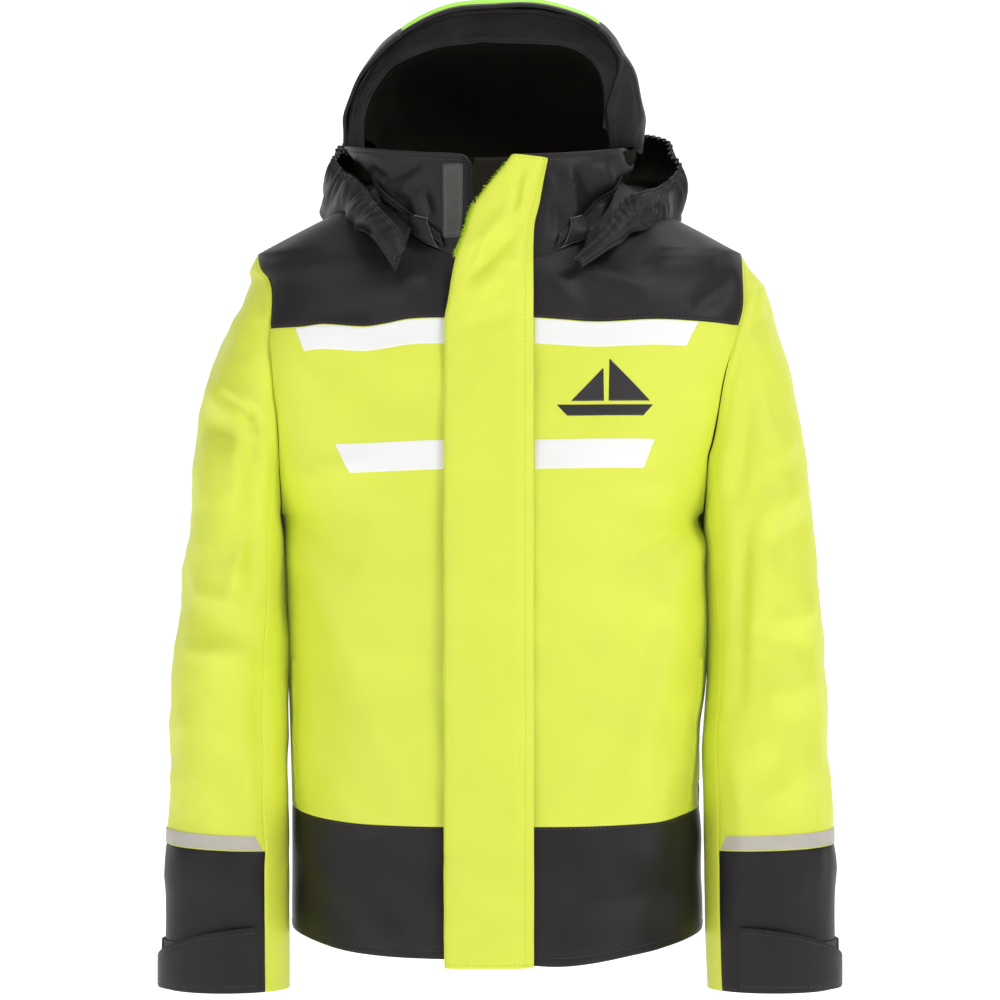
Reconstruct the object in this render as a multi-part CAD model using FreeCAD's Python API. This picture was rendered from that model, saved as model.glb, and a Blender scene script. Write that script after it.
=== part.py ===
import FreeCAD, Part
import math
import os

# A junior foul weather jacket, size 152, held as if worn: millimetres, +Z up, -Y to the front, +X to
# the wearer's left. The origin is the middle of the neck opening, where a clothes hanger's neck sits.

V = FreeCAD.Vector

# ---- Torso ------------------------------------------------------------------------------------
HEM_Z = -600.0
HEM_TOP_FRONT_Z = -496.0
HEM_TOP_BACK_Z = -480.0
YOKE_Z = -111.0
ARMPIT_Z = -262.0
SHOULDER_TIP_Z = -52.0
NECK_SIDE_Z = 4.0
NECK_FRONT_Z = -63.0
NECK_HALF_WIDTH = 84.0
NECK_CURVE = 0.8             # how soon the neck seam rises towards the sides
SHOULDER_TIP_X = 196.0
ARMPIT_X = 174.0
ARMHOLE_HALF_DEPTH = 62.0
FRONT_HEM_Y = -120.0
FRONT_LEAN = 0.0585          # how far the straight zip line leans back for each millimetre of height
ROUNDNESS = 2.4              # exponent of the torso's superellipse
HALF_WIDTHS = [(-600, 166), (-496, 166), (-380, 169), (ARMPIT_Z, 172)]
BACK_DEPTHS = [(-600, 106), (-480, 110), (-300, 114), (-150, 110), (-80, 101), (-30, 86), (10, 69)]
SHELL = 2.0                  # laminated shell fabric
SEAM_GAP = 0.5               # clearance between neighbouring panels

# ---- Zip and storm flap, across and along the zip line -----------------------------------------
ZIP_X = -10.0
ZIP_TOP_Z = 14.0
ZIP_OPENING = 8.0            # panel edge to zip centre
TEETH_PITCH = 4.0
TOOTH_LONG = 2.9             # from a tooth's tip to its cord
TOOTH_THICK = 3.0
ROW_GAP = 0.5                # from the zip's centre to the tips of each row
TAPE_NEAR = 3.7              # the tape's two edges, from the zip's centre
TAPE_FAR = 14.0
TAPE_THICK = 0.8
ZIP_START = 8.0              # where the tapes start, along the zip line from the hem
PIN_BOX = (5.5, 2.4, 1.0, 7.4)   # half width, half depth, and its two ends along the zip line
TOP_STOP = (2.6, 2.0, 4.0)   # width, half depth and height of the stop above each row
GUARD = (-20.0, 36.0, 3.8, 1.2)  # the inner flap: its two edges, room behind the teeth, thickness
ZIP_DEPTH = 4.0              # middle of the tapes, behind the line of the front
SLIDER_Z = -2.0
FLAP_SEAM_X = 26.0
FLAP_FREE_X = -43.0
FLAP_TOP_Z = 17.0
FLAP_THICK = 2.4
FLAP_LIFT = 7.0              # room under the flap for the slider

# ---- Collar and hood ---------------------------------------------------------------------------
COLLAR_HALF_WIDTH = 118.0
COLLAR_MID_Y = 8.0
COLLAR_HALF_DEPTH = 92.0
COLLAR_FRONT_Z = 18.0
COLLAR_SIDE_Z = 38.0
KEEPER_ANGLES = (33.0, 44.0)  # round the collar from the centre front, in degrees
STRAP_ANGLES = (27.0, 55.0)
LOOP_STRIP_ANGLES = (-28.5, -20.0)
HANGER = (34.0, 58.0, 15.0, 5.0, 9.0, 1.4)  # half width, y of its ends, bow, foot z, height, thickness
HOOD_HALF_WIDTH = 120.0
HOOD_GAP = 1.5
HOOD_RADII = [(78, 108), (95, 115), (120, 114), (150, 106), (180, 93)]
HOOD_SQUARENESS = [(78, 2.5), (120, 2.4), (180, 2.0)]
LINING_RADII = [(79, 105), (84, 96), (90, 86), (100, 82), (130, 84), (160, 84), (180, 84)]
LINING_WIDTHS = [(79, 116), (84, 106), (90, 97), (100, 95), (130, 97), (160, 102), (180, 108)]
BRIM_ANGLE = 78.0
FACING_END_ANGLE = 90.0
CENTRE_PANEL_ANGLE = 38.0    # half of the arch that the hood's centre panel takes

# ---- Sleeves: station -> outer x, outer z, inner x, inner z, half depth, middle y ---------------
SLEEVE = [
    (0, 196.5, -52, 174.5, -262, 62, 0),
    (1, 214, -76, 177, -268, 65, 0),
    (2, 226, -112, 178, -280, 67, -1),
    (3, 237, -155, 178.5, -300, 67, -3),
    (4, 246, -215, 179, -327, 64, -7),
    (5, 253, -288, 179, -350, 60, -12),
    (6, 258, -358, 178, -376, 56, -18),
    (7, 262, -450, 173, -458, 50, -30),
    (8, 264, -540, 168, -543, 45, -40),
    (9, 264, -627, 165, -627, 42, -45),
]
CUFF_TOP = 7.68              # station where the cuff panel starts
TAB_TOP = 8.53
SEAM_ANGLE = 127.0           # from the sleeve's outer line round to its front seam
LAST = 9.0


def smooth(table, at, column=1):
    """A smooth curve through the table's points, read at one place and held flat past both ends."""
    places = [row[0] for row in table]
    values = [row[column] for row in table]
    if at <= places[0]:
        return values[0]
    if at >= places[-1]:
        return values[-1]
    i = max(k for k in range(len(places) - 1) if places[k] <= at)

    def slope(k):
        low = max(k - 1, 0)
        high = min(k + 1, len(places) - 1)
        return (values[high] - values[low]) / (places[high] - places[low])

    step = places[i + 1] - places[i]
    t = (at - places[i]) / step
    start = (2 * t**3 - 3 * t**2 + 1) * values[i] + (t**3 - 2 * t**2 + t) * step * slope(i)
    return start + (3 * t**2 - 2 * t**3) * values[i + 1] + (t**3 - t**2) * step * slope(i + 1)


def power(value, exponent):
    return math.copysign(abs(value) ** exponent, value)


def steps(low, high, count):
    return [low + (high - low) * k / (count - 1) for k in range(count)]


# ---- Surfaces --------------------------------------------------------------------------------------
def front_y(z):
    return FRONT_HEM_Y + FRONT_LEAN * (z - HEM_Z)


def edge_x(z):
    """Half width of the torso: the side seam, the armhole seam, then the shoulder line."""
    if z <= ARMPIT_Z:
        return smooth(HALF_WIDTHS, z)
    if z <= SHOULDER_TIP_Z:
        share = (z - ARMPIT_Z) / (SHOULDER_TIP_Z - ARMPIT_Z)
        return ARMPIT_X + (SHOULDER_TIP_X - ARMPIT_X) * share
    slope = (SHOULDER_TIP_X - NECK_HALF_WIDTH) / (NECK_SIDE_Z - SHOULDER_TIP_Z)
    return SHOULDER_TIP_X - slope * (z - SHOULDER_TIP_Z)


def armhole_depth(z):
    middle = (ARMPIT_Z + SHOULDER_TIP_Z) / 2
    reach = (z - middle) / (SHOULDER_TIP_Z - middle)
    return ARMHOLE_HALF_DEPTH * math.sqrt(max(0.0, 1 - reach * reach))


def quarter(z):
    """The torso's section is a quarter of a superellipse each side. It stops short at the armhole."""
    keep = 1 - 0.04 * armhole_depth(z) / ARMHOLE_HALF_DEPTH
    last = math.asin(keep ** (ROUNDNESS / 2))
    return keep, last, power(math.cos(last), 2 / ROUNDNESS)


def fullness(x, z):
    """1 at the torso's centre line, falling to 0 at its edge."""
    keep, _, rest = quarter(z)
    share = keep * min(1.0, abs(x) / edge_x(z))
    return ((1 - share**ROUNDNESS) ** (1 / ROUNDNESS) - rest) / (1 - rest)


def depths(x, z, front):
    """How far from the torso's mid plane its middle and its edge lie, at one height."""
    if front:
        beside = min(1.0, abs(x) / 60) ** 2
        return front_y(z) + 0.004 * max(0.0, z + 100) ** 2 * beside, -armhole_depth(z)
    return smooth(BACK_DEPTHS, z), armhole_depth(z)


def torso_y(x, z, front):
    middle, rim = depths(x, z, front)
    return rim + (middle - rim) * fullness(x, z)


def torso_turn(x, z):
    """The angle round the section at which the torso reaches x."""
    keep, last, _ = quarter(z)
    share = min(1.0, keep * abs(x) / edge_x(z))
    return math.copysign(math.asin(share ** (ROUNDNESS / 2)), x)


def torso_at(turn, z, front):
    keep, last, rest = quarter(z)
    x = power(math.sin(turn), 2 / ROUNDNESS) / keep * edge_x(z)
    middle, rim = depths(x, z, front)
    full = (power(math.cos(turn), 2 / ROUNDNESS) - rest) / (1 - rest)
    return V(x, rim + (middle - rim) * full, z)


def neck_point(angle):
    """The neck seam, at an angle in degrees from the centre front towards the wearer's left."""
    a = math.radians(angle)
    x = NECK_HALF_WIDTH * math.sin(a)
    c = math.cos(a)
    z = NECK_SIDE_Z - (NECK_SIDE_Z - NECK_FRONT_Z) * max(0.0, c) ** NECK_CURVE
    return V(x, torso_y(x, z, c >= 0), z)


def neck_x(z):
    """Half width of the neck opening at a height."""
    c = ((NECK_SIDE_Z - z) / (NECK_SIDE_Z - NECK_FRONT_Z)) ** (1 / NECK_CURVE)
    return NECK_HALF_WIDTH * math.sqrt(max(0.0, 1 - c * c))


def collar_top(angle):
    a = math.radians(angle)
    dip = (COLLAR_SIDE_Z - COLLAR_FRONT_Z) * ((1 + math.cos(a)) / 2) ** 2
    across = math.sin(a)
    full = (1 - abs(across) ** ROUNDNESS) ** (1 / ROUNDNESS)
    y = COLLAR_MID_Y - math.copysign(COLLAR_HALF_DEPTH * full, math.cos(a))
    return V(COLLAR_HALF_WIDTH * across, y, COLLAR_SIDE_Z - dip)


def collar(angle, height):
    """The collar between the neck seam (0) and its top edge (1). It flares out low down."""
    low = neck_point(angle)
    high = collar_top(angle)
    flare = height**0.75
    return V(
        low.x + (high.x - low.x) * flare,
        low.y + (high.y - low.y) * flare,
        low.z + (high.z - low.z) * height,
    )


def arch(across, lean, radius, width, squareness):
    """A point of one of the arches that make the hood. All arches spring from the collar's sides."""
    a = math.radians(across)
    out = radius * power(math.cos(a), 2 / squareness)
    b = math.radians(lean)
    return V(
        width * power(math.sin(a), 2 / squareness),
        COLLAR_MID_Y - out * math.cos(b),
        COLLAR_SIDE_Z + HOOD_GAP + out * math.sin(b),
    )


def hood(across, lean):
    squareness = smooth(HOOD_SQUARENESS, lean)
    return arch(across, lean, smooth(HOOD_RADII, lean), HOOD_HALF_WIDTH, squareness)


def hood_inside(across, lean):
    squareness = smooth(HOOD_SQUARENESS, lean)
    return arch(across, lean, smooth(LINING_RADII, lean), smooth(LINING_WIDTHS, lean), squareness)


def sleeve(side):
    def at(angle, station):
        ox, oz, ix, iz, depth, middle = [smooth(SLEEVE, station, k) for k in range(1, 7)]
        a = math.radians(angle)
        return V(
            side * ((ox + ix) / 2 + (ox - ix) / 2 * math.cos(a)),
            middle - depth * math.sin(a),
            (oz + iz) / 2 + (oz - iz) / 2 * math.cos(a),
        )

    return at


def sleeve_middle(side, station):
    ox, oz, ix, iz, depth, middle = [smooth(SLEEVE, station, k) for k in range(1, 7)]
    return V(side * (ox + ix) / 2, middle, (oz + iz) / 2)


# ---- Solids from surfaces ----------------------------------------------------------------------------
def inward(surface, u, v, inside, du, dv):
    """A surface point and the unit vector there that points to the inside, square to the surface."""
    point = surface(u, v)
    if du is None:
        return point, (inside(u, v) - point).normalize()
    across = surface(u + du, v) - surface(u - du, v)
    along = surface(u, v + dv) - surface(u, v - dv)
    normal = across.cross(along)
    normal.normalize()
    if normal.dot(inside(u, v) - point) < 0:
        normal = normal * -1
    return point, normal


def spline(points):
    curve = Part.BSplineCurve()
    curve.interpolate(points)
    return curve.toShape()


def section(outer, inner):
    back = inner[::-1]
    return Part.Wire(
        [
            spline(outer),
            Part.makeLine(outer[-1], back[0]),
            spline(back),
            Part.makeLine(back[-1], outer[0]),
        ]
    )


def closed_solid(faces):
    sewn = Part.makeCompound(faces)
    sewn.sewShape()
    solid = Part.makeSolid(sewn.Shells[0])
    if solid.Volume < 0:
        solid.reverse()
    return solid


def layer(surface, inside, rows, depth, thick, du=0.01, dv=0.5):
    """A sheet of fabric: from depth to depth + thick under the surface, through rows of (v, us).

    With du of None it is offset straight towards the inside point, not square to the surface.
    """
    outers = []
    inners = []
    for v, us in rows:
        found = [inward(surface, u, v, inside, du, dv) for u in us]
        start = depth(v) if callable(depth) else depth
        outers.append([p + n * start for p, n in found])
        inners.append([p + n * (start + thick) for p, n in found])
    faces = []
    for k in range(len(rows) - 1):
        for lines in (outers, inners):
            faces.append(Part.makeRuledSurface(spline(lines[k]), spline(lines[k + 1]), 1))
        for end in (0, -1):
            low = Part.makeLine(outers[k][end], inners[k][end])
            high = Part.makeLine(outers[k + 1][end], inners[k + 1][end])
            faces.append(Part.makeRuledSurface(low, high, 1))
    for k in (0, -1):
        faces.append(Part.makeRuledSurface(spline(outers[k]), spline(inners[k]), 1))
    return closed_solid(faces)


def save(name, *solids):
    shape = solids[0] if len(solids) == 1 else Part.makeCompound(list(solids))
    assert shape.isValid(), name
    shape.exportStep(f"parts/{name}.step")


# ---- Torso panels -------------------------------------------------------------------------------------
def torso_axis(u, z):
    return V(0, 0, min(z, -60.0))


def torso_half(side, front, start):
    """The torso's surface on one side: u runs from start(z) across to the edge."""

    def at(u, z):
        first = torso_turn(start(z), z)
        last = side * quarter(z)[1]
        return torso_at(first + (last - first) * u, z, front)

    return at


def centre_front(side):
    return lambda z: ZIP_X + side * ZIP_OPENING


def front_neck(side):
    def start(z):
        edge = ZIP_X + side * ZIP_OPENING
        if z <= NECK_FRONT_Z:
            return edge
        beyond = side * neck_x(z)
        return max(edge, beyond) if side > 0 else min(edge, beyond)

    return start


SIDE_END = 0.9985            # share of the way round at which a panel stops short of its side seam
ACROSS = steps(0.0, SIDE_END, 11)
BODY_ROWS = [-440, -380, -320, -280, -266, -262, -258, -250, -238, -215, -180, -145]
YOKE_ROWS = [-95, -80, -68, -63.5, -62.5, -61, -58, -55, -52.5]
SHOULDER_ROWS = [-50, -42, -34, -25, -16, -8, -2, 3.4]


def rows_between(low, high, rows, us=ACROSS):
    levels = [low] + [z for z in rows if low + 4 < z < high - 4] + [high]
    return [(z, us) for z in levels]


POCKET_LOW_Z = -488.0
POCKET_HIGH_Z = -372.0
POCKET_MOUTH = (0.83, 0.90)   # shares of the way round to the side seam
POCKET_DEEP = 0.42


def pocket_block(side, first, last, margin, depth, thick):
    """A block behind the front panel, round the pocket mouth's height and margin beyond it."""
    surface = torso_half(side, True, centre_front(side))
    us = steps(first, last, 7)
    rows = [(z, us) for z in steps(POCKET_LOW_Z - margin, POCKET_HIGH_Z + margin, 4)]
    return layer(surface, torso_axis, rows, depth, thick)


def front_panel(side):
    surface = torso_half(side, True, centre_front(side))
    rows = rows_between(HEM_TOP_FRONT_Z + SEAM_GAP / 2, YOKE_Z - SEAM_GAP / 2, BODY_ROWS)
    return layer(surface, torso_axis, rows, 0, SHELL).cut(pocket_block(side, *POCKET_MOUTH, 0, -2, 6))


def hem_front(side):
    surface = torso_half(side, True, centre_front(side))
    rows = rows_between(HEM_Z, HEM_TOP_FRONT_Z - SEAM_GAP / 2, [-565, -530])
    return layer(surface, torso_axis, rows, 0, SHELL)


def yoke_front(side):
    surface = torso_half(side, True, front_neck(side))
    return layer(surface, torso_axis, [(z, ACROSS) for z in yoke_levels()], 0, SHELL)


def back_surface(u, z):
    """The torso's back from one edge (-1) to the other (1)."""
    return torso_at(quarter(z)[1] * u, z, False)


def back_part(levels, depth=0.0, thick=SHELL, us=ACROSS):
    both = [-u for u in us[:0:-1]] + us
    return layer(back_surface, torso_axis, [(z, both) for z in levels], depth, thick)


def back_levels(low, high):
    return [low] + [z for z in BODY_ROWS if low + 3 < z < high - 3] + [high]


def yoke_levels():
    return [YOKE_Z + SEAM_GAP / 2] + YOKE_ROWS + SHOULDER_ROWS


LINING_DEPTH = 4.0
LINING = 1.0                 # thickness of the lining fabric
LINING_STEP_Z = -320.0       # under this height the lining moves back to make room for the pockets
BAG_ROOM = 13.0
LINING_LOW_Z = -590.0
LINING_SHARE = 0.985         # share of the way round at which a lining stops
LINED = [u * LINING_SHARE for u in ACROSS]


def lining_depth(z):
    """The front lining passes behind the pocket bags low down and lies near the shell higher up."""
    share = min(1.0, max(0.0, (LINING_STEP_Z - z) / 40))
    return LINING_DEPTH + BAG_ROOM * share


def lining_front(side):
    surface = torso_half(side, True, lambda z: ZIP_X + side * 38.0)
    levels = [LINING_LOW_Z, -540, -490, -430, -380, -360, -340, -325, -300, -280, -270, -262, -255]
    levels += [-240, -215, -180, -145, -112, -90, -72, -64]
    return layer(surface, torso_axis, [(z, LINED) for z in levels], lining_depth, LINING)


def lining_back():
    levels = [LINING_LOW_Z, -540, -480, -400, -330, -290, -270, -262, -255, -240, -215, -180, -145]
    levels += [-112, -90, -72, -60]
    return back_part(levels, LINING_DEPTH, LINING, LINED)


# ---- Pockets ---------------------------------------------------------------------------------------
def pocket_bag(side):
    """A flat bag behind the front panel, open where the front panel is."""
    bag = pocket_block(side, POCKET_DEEP, 0.94, 8, 3.0, 12.0)
    room = pocket_block(side, POCKET_DEEP + 0.01, 0.93, 6.5, 4.2, 9.6)
    mouth = pocket_block(side, *POCKET_MOUTH, 0, 2.0, 3.0)
    return bag.cut(room).cut(mouth)


def pocket_welt(side):
    surface = torso_half(side, True, centre_front(side))
    us = steps(POCKET_MOUTH[0] - 0.045, POCKET_MOUTH[0] - 0.004, 4)
    rows = [(z, us) for z in steps(POCKET_LOW_Z + 1, POCKET_HIGH_Z - 1, 4)]
    return layer(surface, torso_axis, rows, -1.4, 1.2)


# ---- Bonded stripes and emblem ---------------------------------------------------------------------
FILM = 0.4
FILM_LIFT = 0.05
STRIPES = [(-112, -129, 156, 147), (-204, -226, 123, 113)]   # top, bottom, and x of the slanted end at each
STRIPE_START = {1: 33.0, -1: 35.0}
MAIN_SAIL = [(84, -173), (116, -173), (84.5, -141)]
JIB = [(56, -173), (80, -173), (79.5, -147)]
HULL = (82.0, -185.0, -176.0, 30.0, 38.0)    # centre x, bottom, top, and half width at each


def stripe(side, high, low, long_x, short_x):
    """A bonded stripe whose outer end is cut on a slant from long_x, at its top, to short_x."""
    start_x = STRIPE_START[side]

    def at(u, z):
        end = short_x + (long_x - short_x) * (z - low) / (high - low)
        x = side * (start_x + (end - start_x) * u)
        return V(x, torso_y(x, z, True), z)

    rows = [(z, steps(0, 1, 7)) for z in steps(low, high, 3)]
    return layer(at, torso_axis, rows, -FILM_LIFT - FILM, FILM)


def emblem_sail(points):
    """One bonded sail of the emblem: a triangle given as (x, z) corners, lowest edge first."""
    (x0, z0), (x1, z1), (x2, z2) = points

    def at(u, z):
        share = (z - z0) / (z2 - z0)
        left = x0 + (x2 - x0) * share
        right = x1 + (x2 - x1) * share
        x = left + (right - left) * u
        return V(x, torso_y(x, z, True), z)

    rows = [(z, steps(0, 1, 5)) for z in steps(z0, z2 - 1.5, 4)]
    return layer(at, torso_axis, rows, -FILM_LIFT - FILM, FILM)


def emblem_hull():
    middle, low, high, narrow, wide = HULL

    def at(u, z):
        spread = narrow + (wide - narrow) * (z - low) / (high - low)
        x = middle + spread * (2 * u - 1)
        return V(x, torso_y(x, z, True), z)

    rows = [(z, steps(0, 1, 7)) for z in steps(low, high, 3)]
    return layer(at, torso_axis, rows, -FILM_LIFT - FILM, FILM)


# ---- Zip, guard and storm flap -----------------------------------------------------------------------
LEAN_ANGLE = math.degrees(math.atan(FRONT_LEAN))
ALONG = math.sqrt(1 + FRONT_LEAN**2)     # zip length for each millimetre of height


def on_front(shape, s=0.0):
    """Places a solid drawn as x, depth into the body, distance up the zip line from the hem."""
    placed = shape.copy()
    placed.translate(V(0, 0, s))
    placed.rotate(V(0, 0, 0), V(1, 0, 0), -LEAN_ANGLE)
    placed.translate(V(0, FRONT_HEM_Y, HEM_Z))
    return placed


def height_of(z):
    return (z - HEM_Z) * ALONG


def slab(x_low, x_high, n_low, n_high, s_low, s_high):
    made = Part.makeBox(x_high - x_low, n_high - n_low, s_high - s_low)
    made.translate(V(x_low, n_low, s_low))
    return made


def profile_bar(points, s_low, s_high):
    corners = [V(x, n, s_low) for x, n in points]
    face = Part.Face(Part.makePolygon(corners + corners[:1]))
    return face.extrude(V(0, 0, s_high - s_low))


def zip_teeth(side):
    """One row of moulded teeth on its cord. The two rows stay 0.8 mm apart."""
    near = ROW_GAP
    root = near + 1.2
    far = near + TOOTH_LONG
    count = int((height_of(ZIP_TOP_Z) - 2 * ZIP_START) / TEETH_PITCH)
    outline = [(far, ZIP_START)]
    for k in range(count):
        base = ZIP_START + k * TEETH_PITCH
        outline += [(root, base), (near, base + 0.7), (near, base + 2.1), (root, base + 2.8)]
    outline += [(far, ZIP_START + count * TEETH_PITCH)]
    corners = [V(ZIP_X + side * x, ZIP_DEPTH - TOOTH_THICK / 2, s) for x, s in outline]
    face = Part.Face(Part.makePolygon(corners + corners[:1]))
    return on_front(face.extrude(V(0, TOOTH_THICK, 0)))


def zip_tape(side):
    low, high = sorted((ZIP_X + side * TAPE_NEAR, ZIP_X + side * TAPE_FAR))
    half = TAPE_THICK / 2
    return on_front(slab(low, high, ZIP_DEPTH - half, ZIP_DEPTH + half, ZIP_START, height_of(ZIP_TOP_Z)))


def zip_stops():
    """The pin box at the bottom, and a stop at the top of each row."""
    half_width, half_depth, low, high = PIN_BOX
    box = slab(ZIP_X - half_width, ZIP_X + half_width, ZIP_DEPTH - half_depth, ZIP_DEPTH + half_depth, low, high)
    width, half, height = TOP_STOP
    top = height_of(ZIP_TOP_Z) - 3
    stops = []
    for x in (ZIP_X - 0.6 - width, ZIP_X + 0.6):
        stops.append(on_front(slab(x, x + width, ZIP_DEPTH - half, ZIP_DEPTH + half, top - height, top)))
    return [on_front(box)] + stops


def zip_guard():
    """The inner flap, behind the teeth."""
    left, right, room, thick = GUARD
    near = ZIP_DEPTH + room
    return on_front(slab(ZIP_X + left, ZIP_X + right, near, near + thick, 4, height_of(ZIP_TOP_Z)))


def zip_slider():
    """Two plates joined by a post between the rows, with side flanges and a bridge for the puller."""
    front = slab(-6, 6, -3.2, -1.9, -8, 8)
    back = slab(-6, 6, 1.9, 2.9, -8, 8)
    post = slab(-0.2, 0.2, -1.9, 1.9, 3, 8)
    lips = [slab(x, x + 1.2, n, n + 1.1, -8, 8) for x in (-6, 4.8) for n in (-1.9, 0.8)]
    legs = [slab(-1.5, 1.5, -5.6, -3.2, s, s + 1.6) for s in (-6, 3.6)]
    bridge = slab(-1.5, 1.5, -6.8, -5.6, -6, 5.2)
    made = front.multiFuse([back, post, bridge] + lips + legs).removeSplitter()
    made.translate(V(ZIP_X, ZIP_DEPTH, 0))
    return on_front(made, height_of(SLIDER_Z))


def zip_puller():
    """A flat tab with an arm each side of the bridge and a pin through it. It hangs down."""
    plate = slab(-4, 4, -8.7, -7.3, -34, -4.5)
    eye = Part.makeCylinder(4.0, 1.4, V(0, -7.3, -4.5), V(0, -1, 0))
    arms = [slab(x, x + 2.1, -8.7, -3.7, -4.5, 1.6) for x in (1.9, -4.0)]
    pin = slab(-1.9, 1.9, -5.3, -3.5, -1.2, 0.9)
    made = plate.multiFuse([eye, pin] + arms).removeSplitter()
    made.translate(V(ZIP_X, ZIP_DEPTH, 0))
    return on_front(made, height_of(SLIDER_Z))


def storm_flap():
    """A double sheet sewn down one edge. It stands over the zip and comes down at its free edge."""
    path = [(FLAP_SEAM_X, -1.0), (FLAP_SEAM_X - 11, -FLAP_LIFT), (-29, -FLAP_LIFT), (FLAP_FREE_X, -3.2)]
    under = path
    over = [(x, n - FLAP_THICK) for x, n in path]
    return on_front(profile_bar(under + over[::-1], -4, height_of(FLAP_TOP_Z)))


PATCH_SPANS = [(30, 90), (160, 220), (290, 350), (420, 480), (560, 604)]
PATCH_X = (-41.0, -27.0)


def flap_patches(n_low, n_high):
    return [on_front(slab(*PATCH_X, n_low, n_high, low, high)) for low, high in PATCH_SPANS]


# ---- Collar, keeper loops, hanger loop, stowage flap --------------------------------------------------
BACK_END = 179.7             # degrees at which each half stops, short of the centre back


def collar_axis(angle, height):
    return V(0, 0, collar(angle, height).z)


def collar_half(side):
    first = math.degrees(math.asin((ZIP_X + side * ZIP_OPENING) / NECK_HALF_WIDTH))
    us = steps(first, side * BACK_END, 29)
    rows = [(h, us) for h in (0.035, 0.15, 0.3, 0.5, 0.75, 1.0)]
    return layer(collar, collar_axis, rows, 0, SHELL, None)


def collar_lining():
    us = steps(25 - 360, -25, 49)
    rows = [(h, us) for h in (0.06, 0.15, 0.3, 0.5, 0.75, 0.97)]
    return layer(collar, collar_axis, rows, 4.0, 1.0, None)


def collar_loop_strip():
    """A strip of loop tape sewn to the collar's right front."""
    us = steps(*LOOP_STRIP_ANGLES, 4)
    rows = [(h, us) for h in (0.08, 0.3, 0.6, 0.93)]
    return layer(collar, collar_axis, rows, -1.6, 1.4, None)


def collar_band(side, angles, heights, depth, thick):
    us = steps(side * angles[0], side * angles[1], 5)
    rows = [(h, us) for h in steps(*heights, 3)]
    return layer(collar, collar_axis, rows, depth, thick, None)


def keeper_loop(side):
    """A bar-tacked webbing loop that stands off the foot of the collar."""
    first, last = KEEPER_ANGLES
    outer = collar_band(side, (first, last), (0.05, 0.33), -6.6, 6.3)
    room = collar_band(side, (first - 2, last + 2), (0.07, 0.31), -5.4, 4.6)
    return outer.cut(room)


def stow_strap(side):
    """The strap at the end of the stowage flap, which runs through the keeper loop."""
    return collar_band(side, STRAP_ANGLES, (0.1, 0.27), -3.7, 1.2)


def hanger_loop():
    """A strap inside the back of the neck. Its two ends are sewn down and its middle stands off."""
    half, wall, bow, low, height, thick = HANGER

    def line(offset):
        points = []
        for x in steps(-half, half, 13):
            rise = bow * math.cos(math.pi * x / (2 * half)) ** 0.8
            points.append(V(x, wall - 0.0028 * x * x - rise - offset, low))
        return points

    outer = line(0.0)
    inner = line(thick)
    return Part.Face(section(outer, inner)).extrude(V(0, 0, height))


STOW_FRONT = 50.0            # degrees round from the centre front
STOW_OFF = 7.0               # how far the foot stands off the neck seam, and how much the wall bulges
STOW_LIFT = 5.0
STOW_THICK = 1.6
STOW_RIM = [                 # degrees round from the centre front, then x, y, z of the rim
    (50, 84, -86, -66), (62, 100, -74, -44), (75, 130, -42, -30), (90, 147, -4, -10),
    (105, 149, 34, 20), (120, 136, 72, 46), (140, 102, 104, 58), (160, 56, 119, 54), (180, 0, 124, 52),
]


def stow_flap(side):
    """Half of the stowage flap that the rolled hood tucks into: sewn at its foot, free above."""

    def at(angle, height):
        turn = abs(angle)
        rim = V(side * smooth(STOW_RIM, turn), smooth(STOW_RIM, turn, 2), smooth(STOW_RIM, turn, 3))
        foot = neck_point(angle)
        out = V(foot.x, foot.y, 0).normalize()
        foot = foot + out * STOW_OFF + V(0, 0, STOW_LIFT)
        return foot + (rim - foot) * height + out * STOW_OFF * math.sin(math.pi * height)

    def inside(angle, height):
        return V(0, 0, 60)

    us = steps(side * STOW_FRONT, side * BACK_END, 25)
    rows = [(h, us) for h in (0.0, 0.25, 0.5, 0.75, 1.0)]
    return layer(at, inside, rows, 0, STOW_THICK, None)


# ---- Hood --------------------------------------------------------------------------------------------
def hood_heart(across, lean):
    return V(0, COLLAR_MID_Y + 10, COLLAR_SIDE_Z + 20)


def hood_panel(low, high, count, depth=0.0, thick=SHELL):
    us = steps(low, high, count)
    leans = [BRIM_ANGLE, 85, 95, 108, 122, 138, 154, 168, 178.6]
    return layer(hood, hood_heart, [(b, us) for b in leans], depth, thick, 0.3, 0.3)


def hood_inner(low_angle, high_angle, count):
    us = steps(-86, 86, 21)
    rows = [(b, us) for b in steps(low_angle, high_angle, count)]
    return layer(hood_inside, hood_heart, rows, 0, 1.0, 0.3, 0.3)


# ---- Sleeves ------------------------------------------------------------------------------------------
def sleeve_layer(side, first, last, stations, depth, thick):
    surface = sleeve(side)

    def inside(angle, station):
        return sleeve_middle(side, station)

    count = max(5, int(abs(last - first) / 14))
    us = steps(first, last, count)
    return layer(surface, inside, [(t, us) for t in stations], depth, thick, 0.5, 0.02)


UPPER = [0.02, 0.35, 0.7, 1.2, 2, 3, 4, 5, 5.994]
LOWER = [6.006, 6.5, 7, 7.4]
EDGE = 0.6                   # degrees that keep sleeve panels apart


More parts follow.
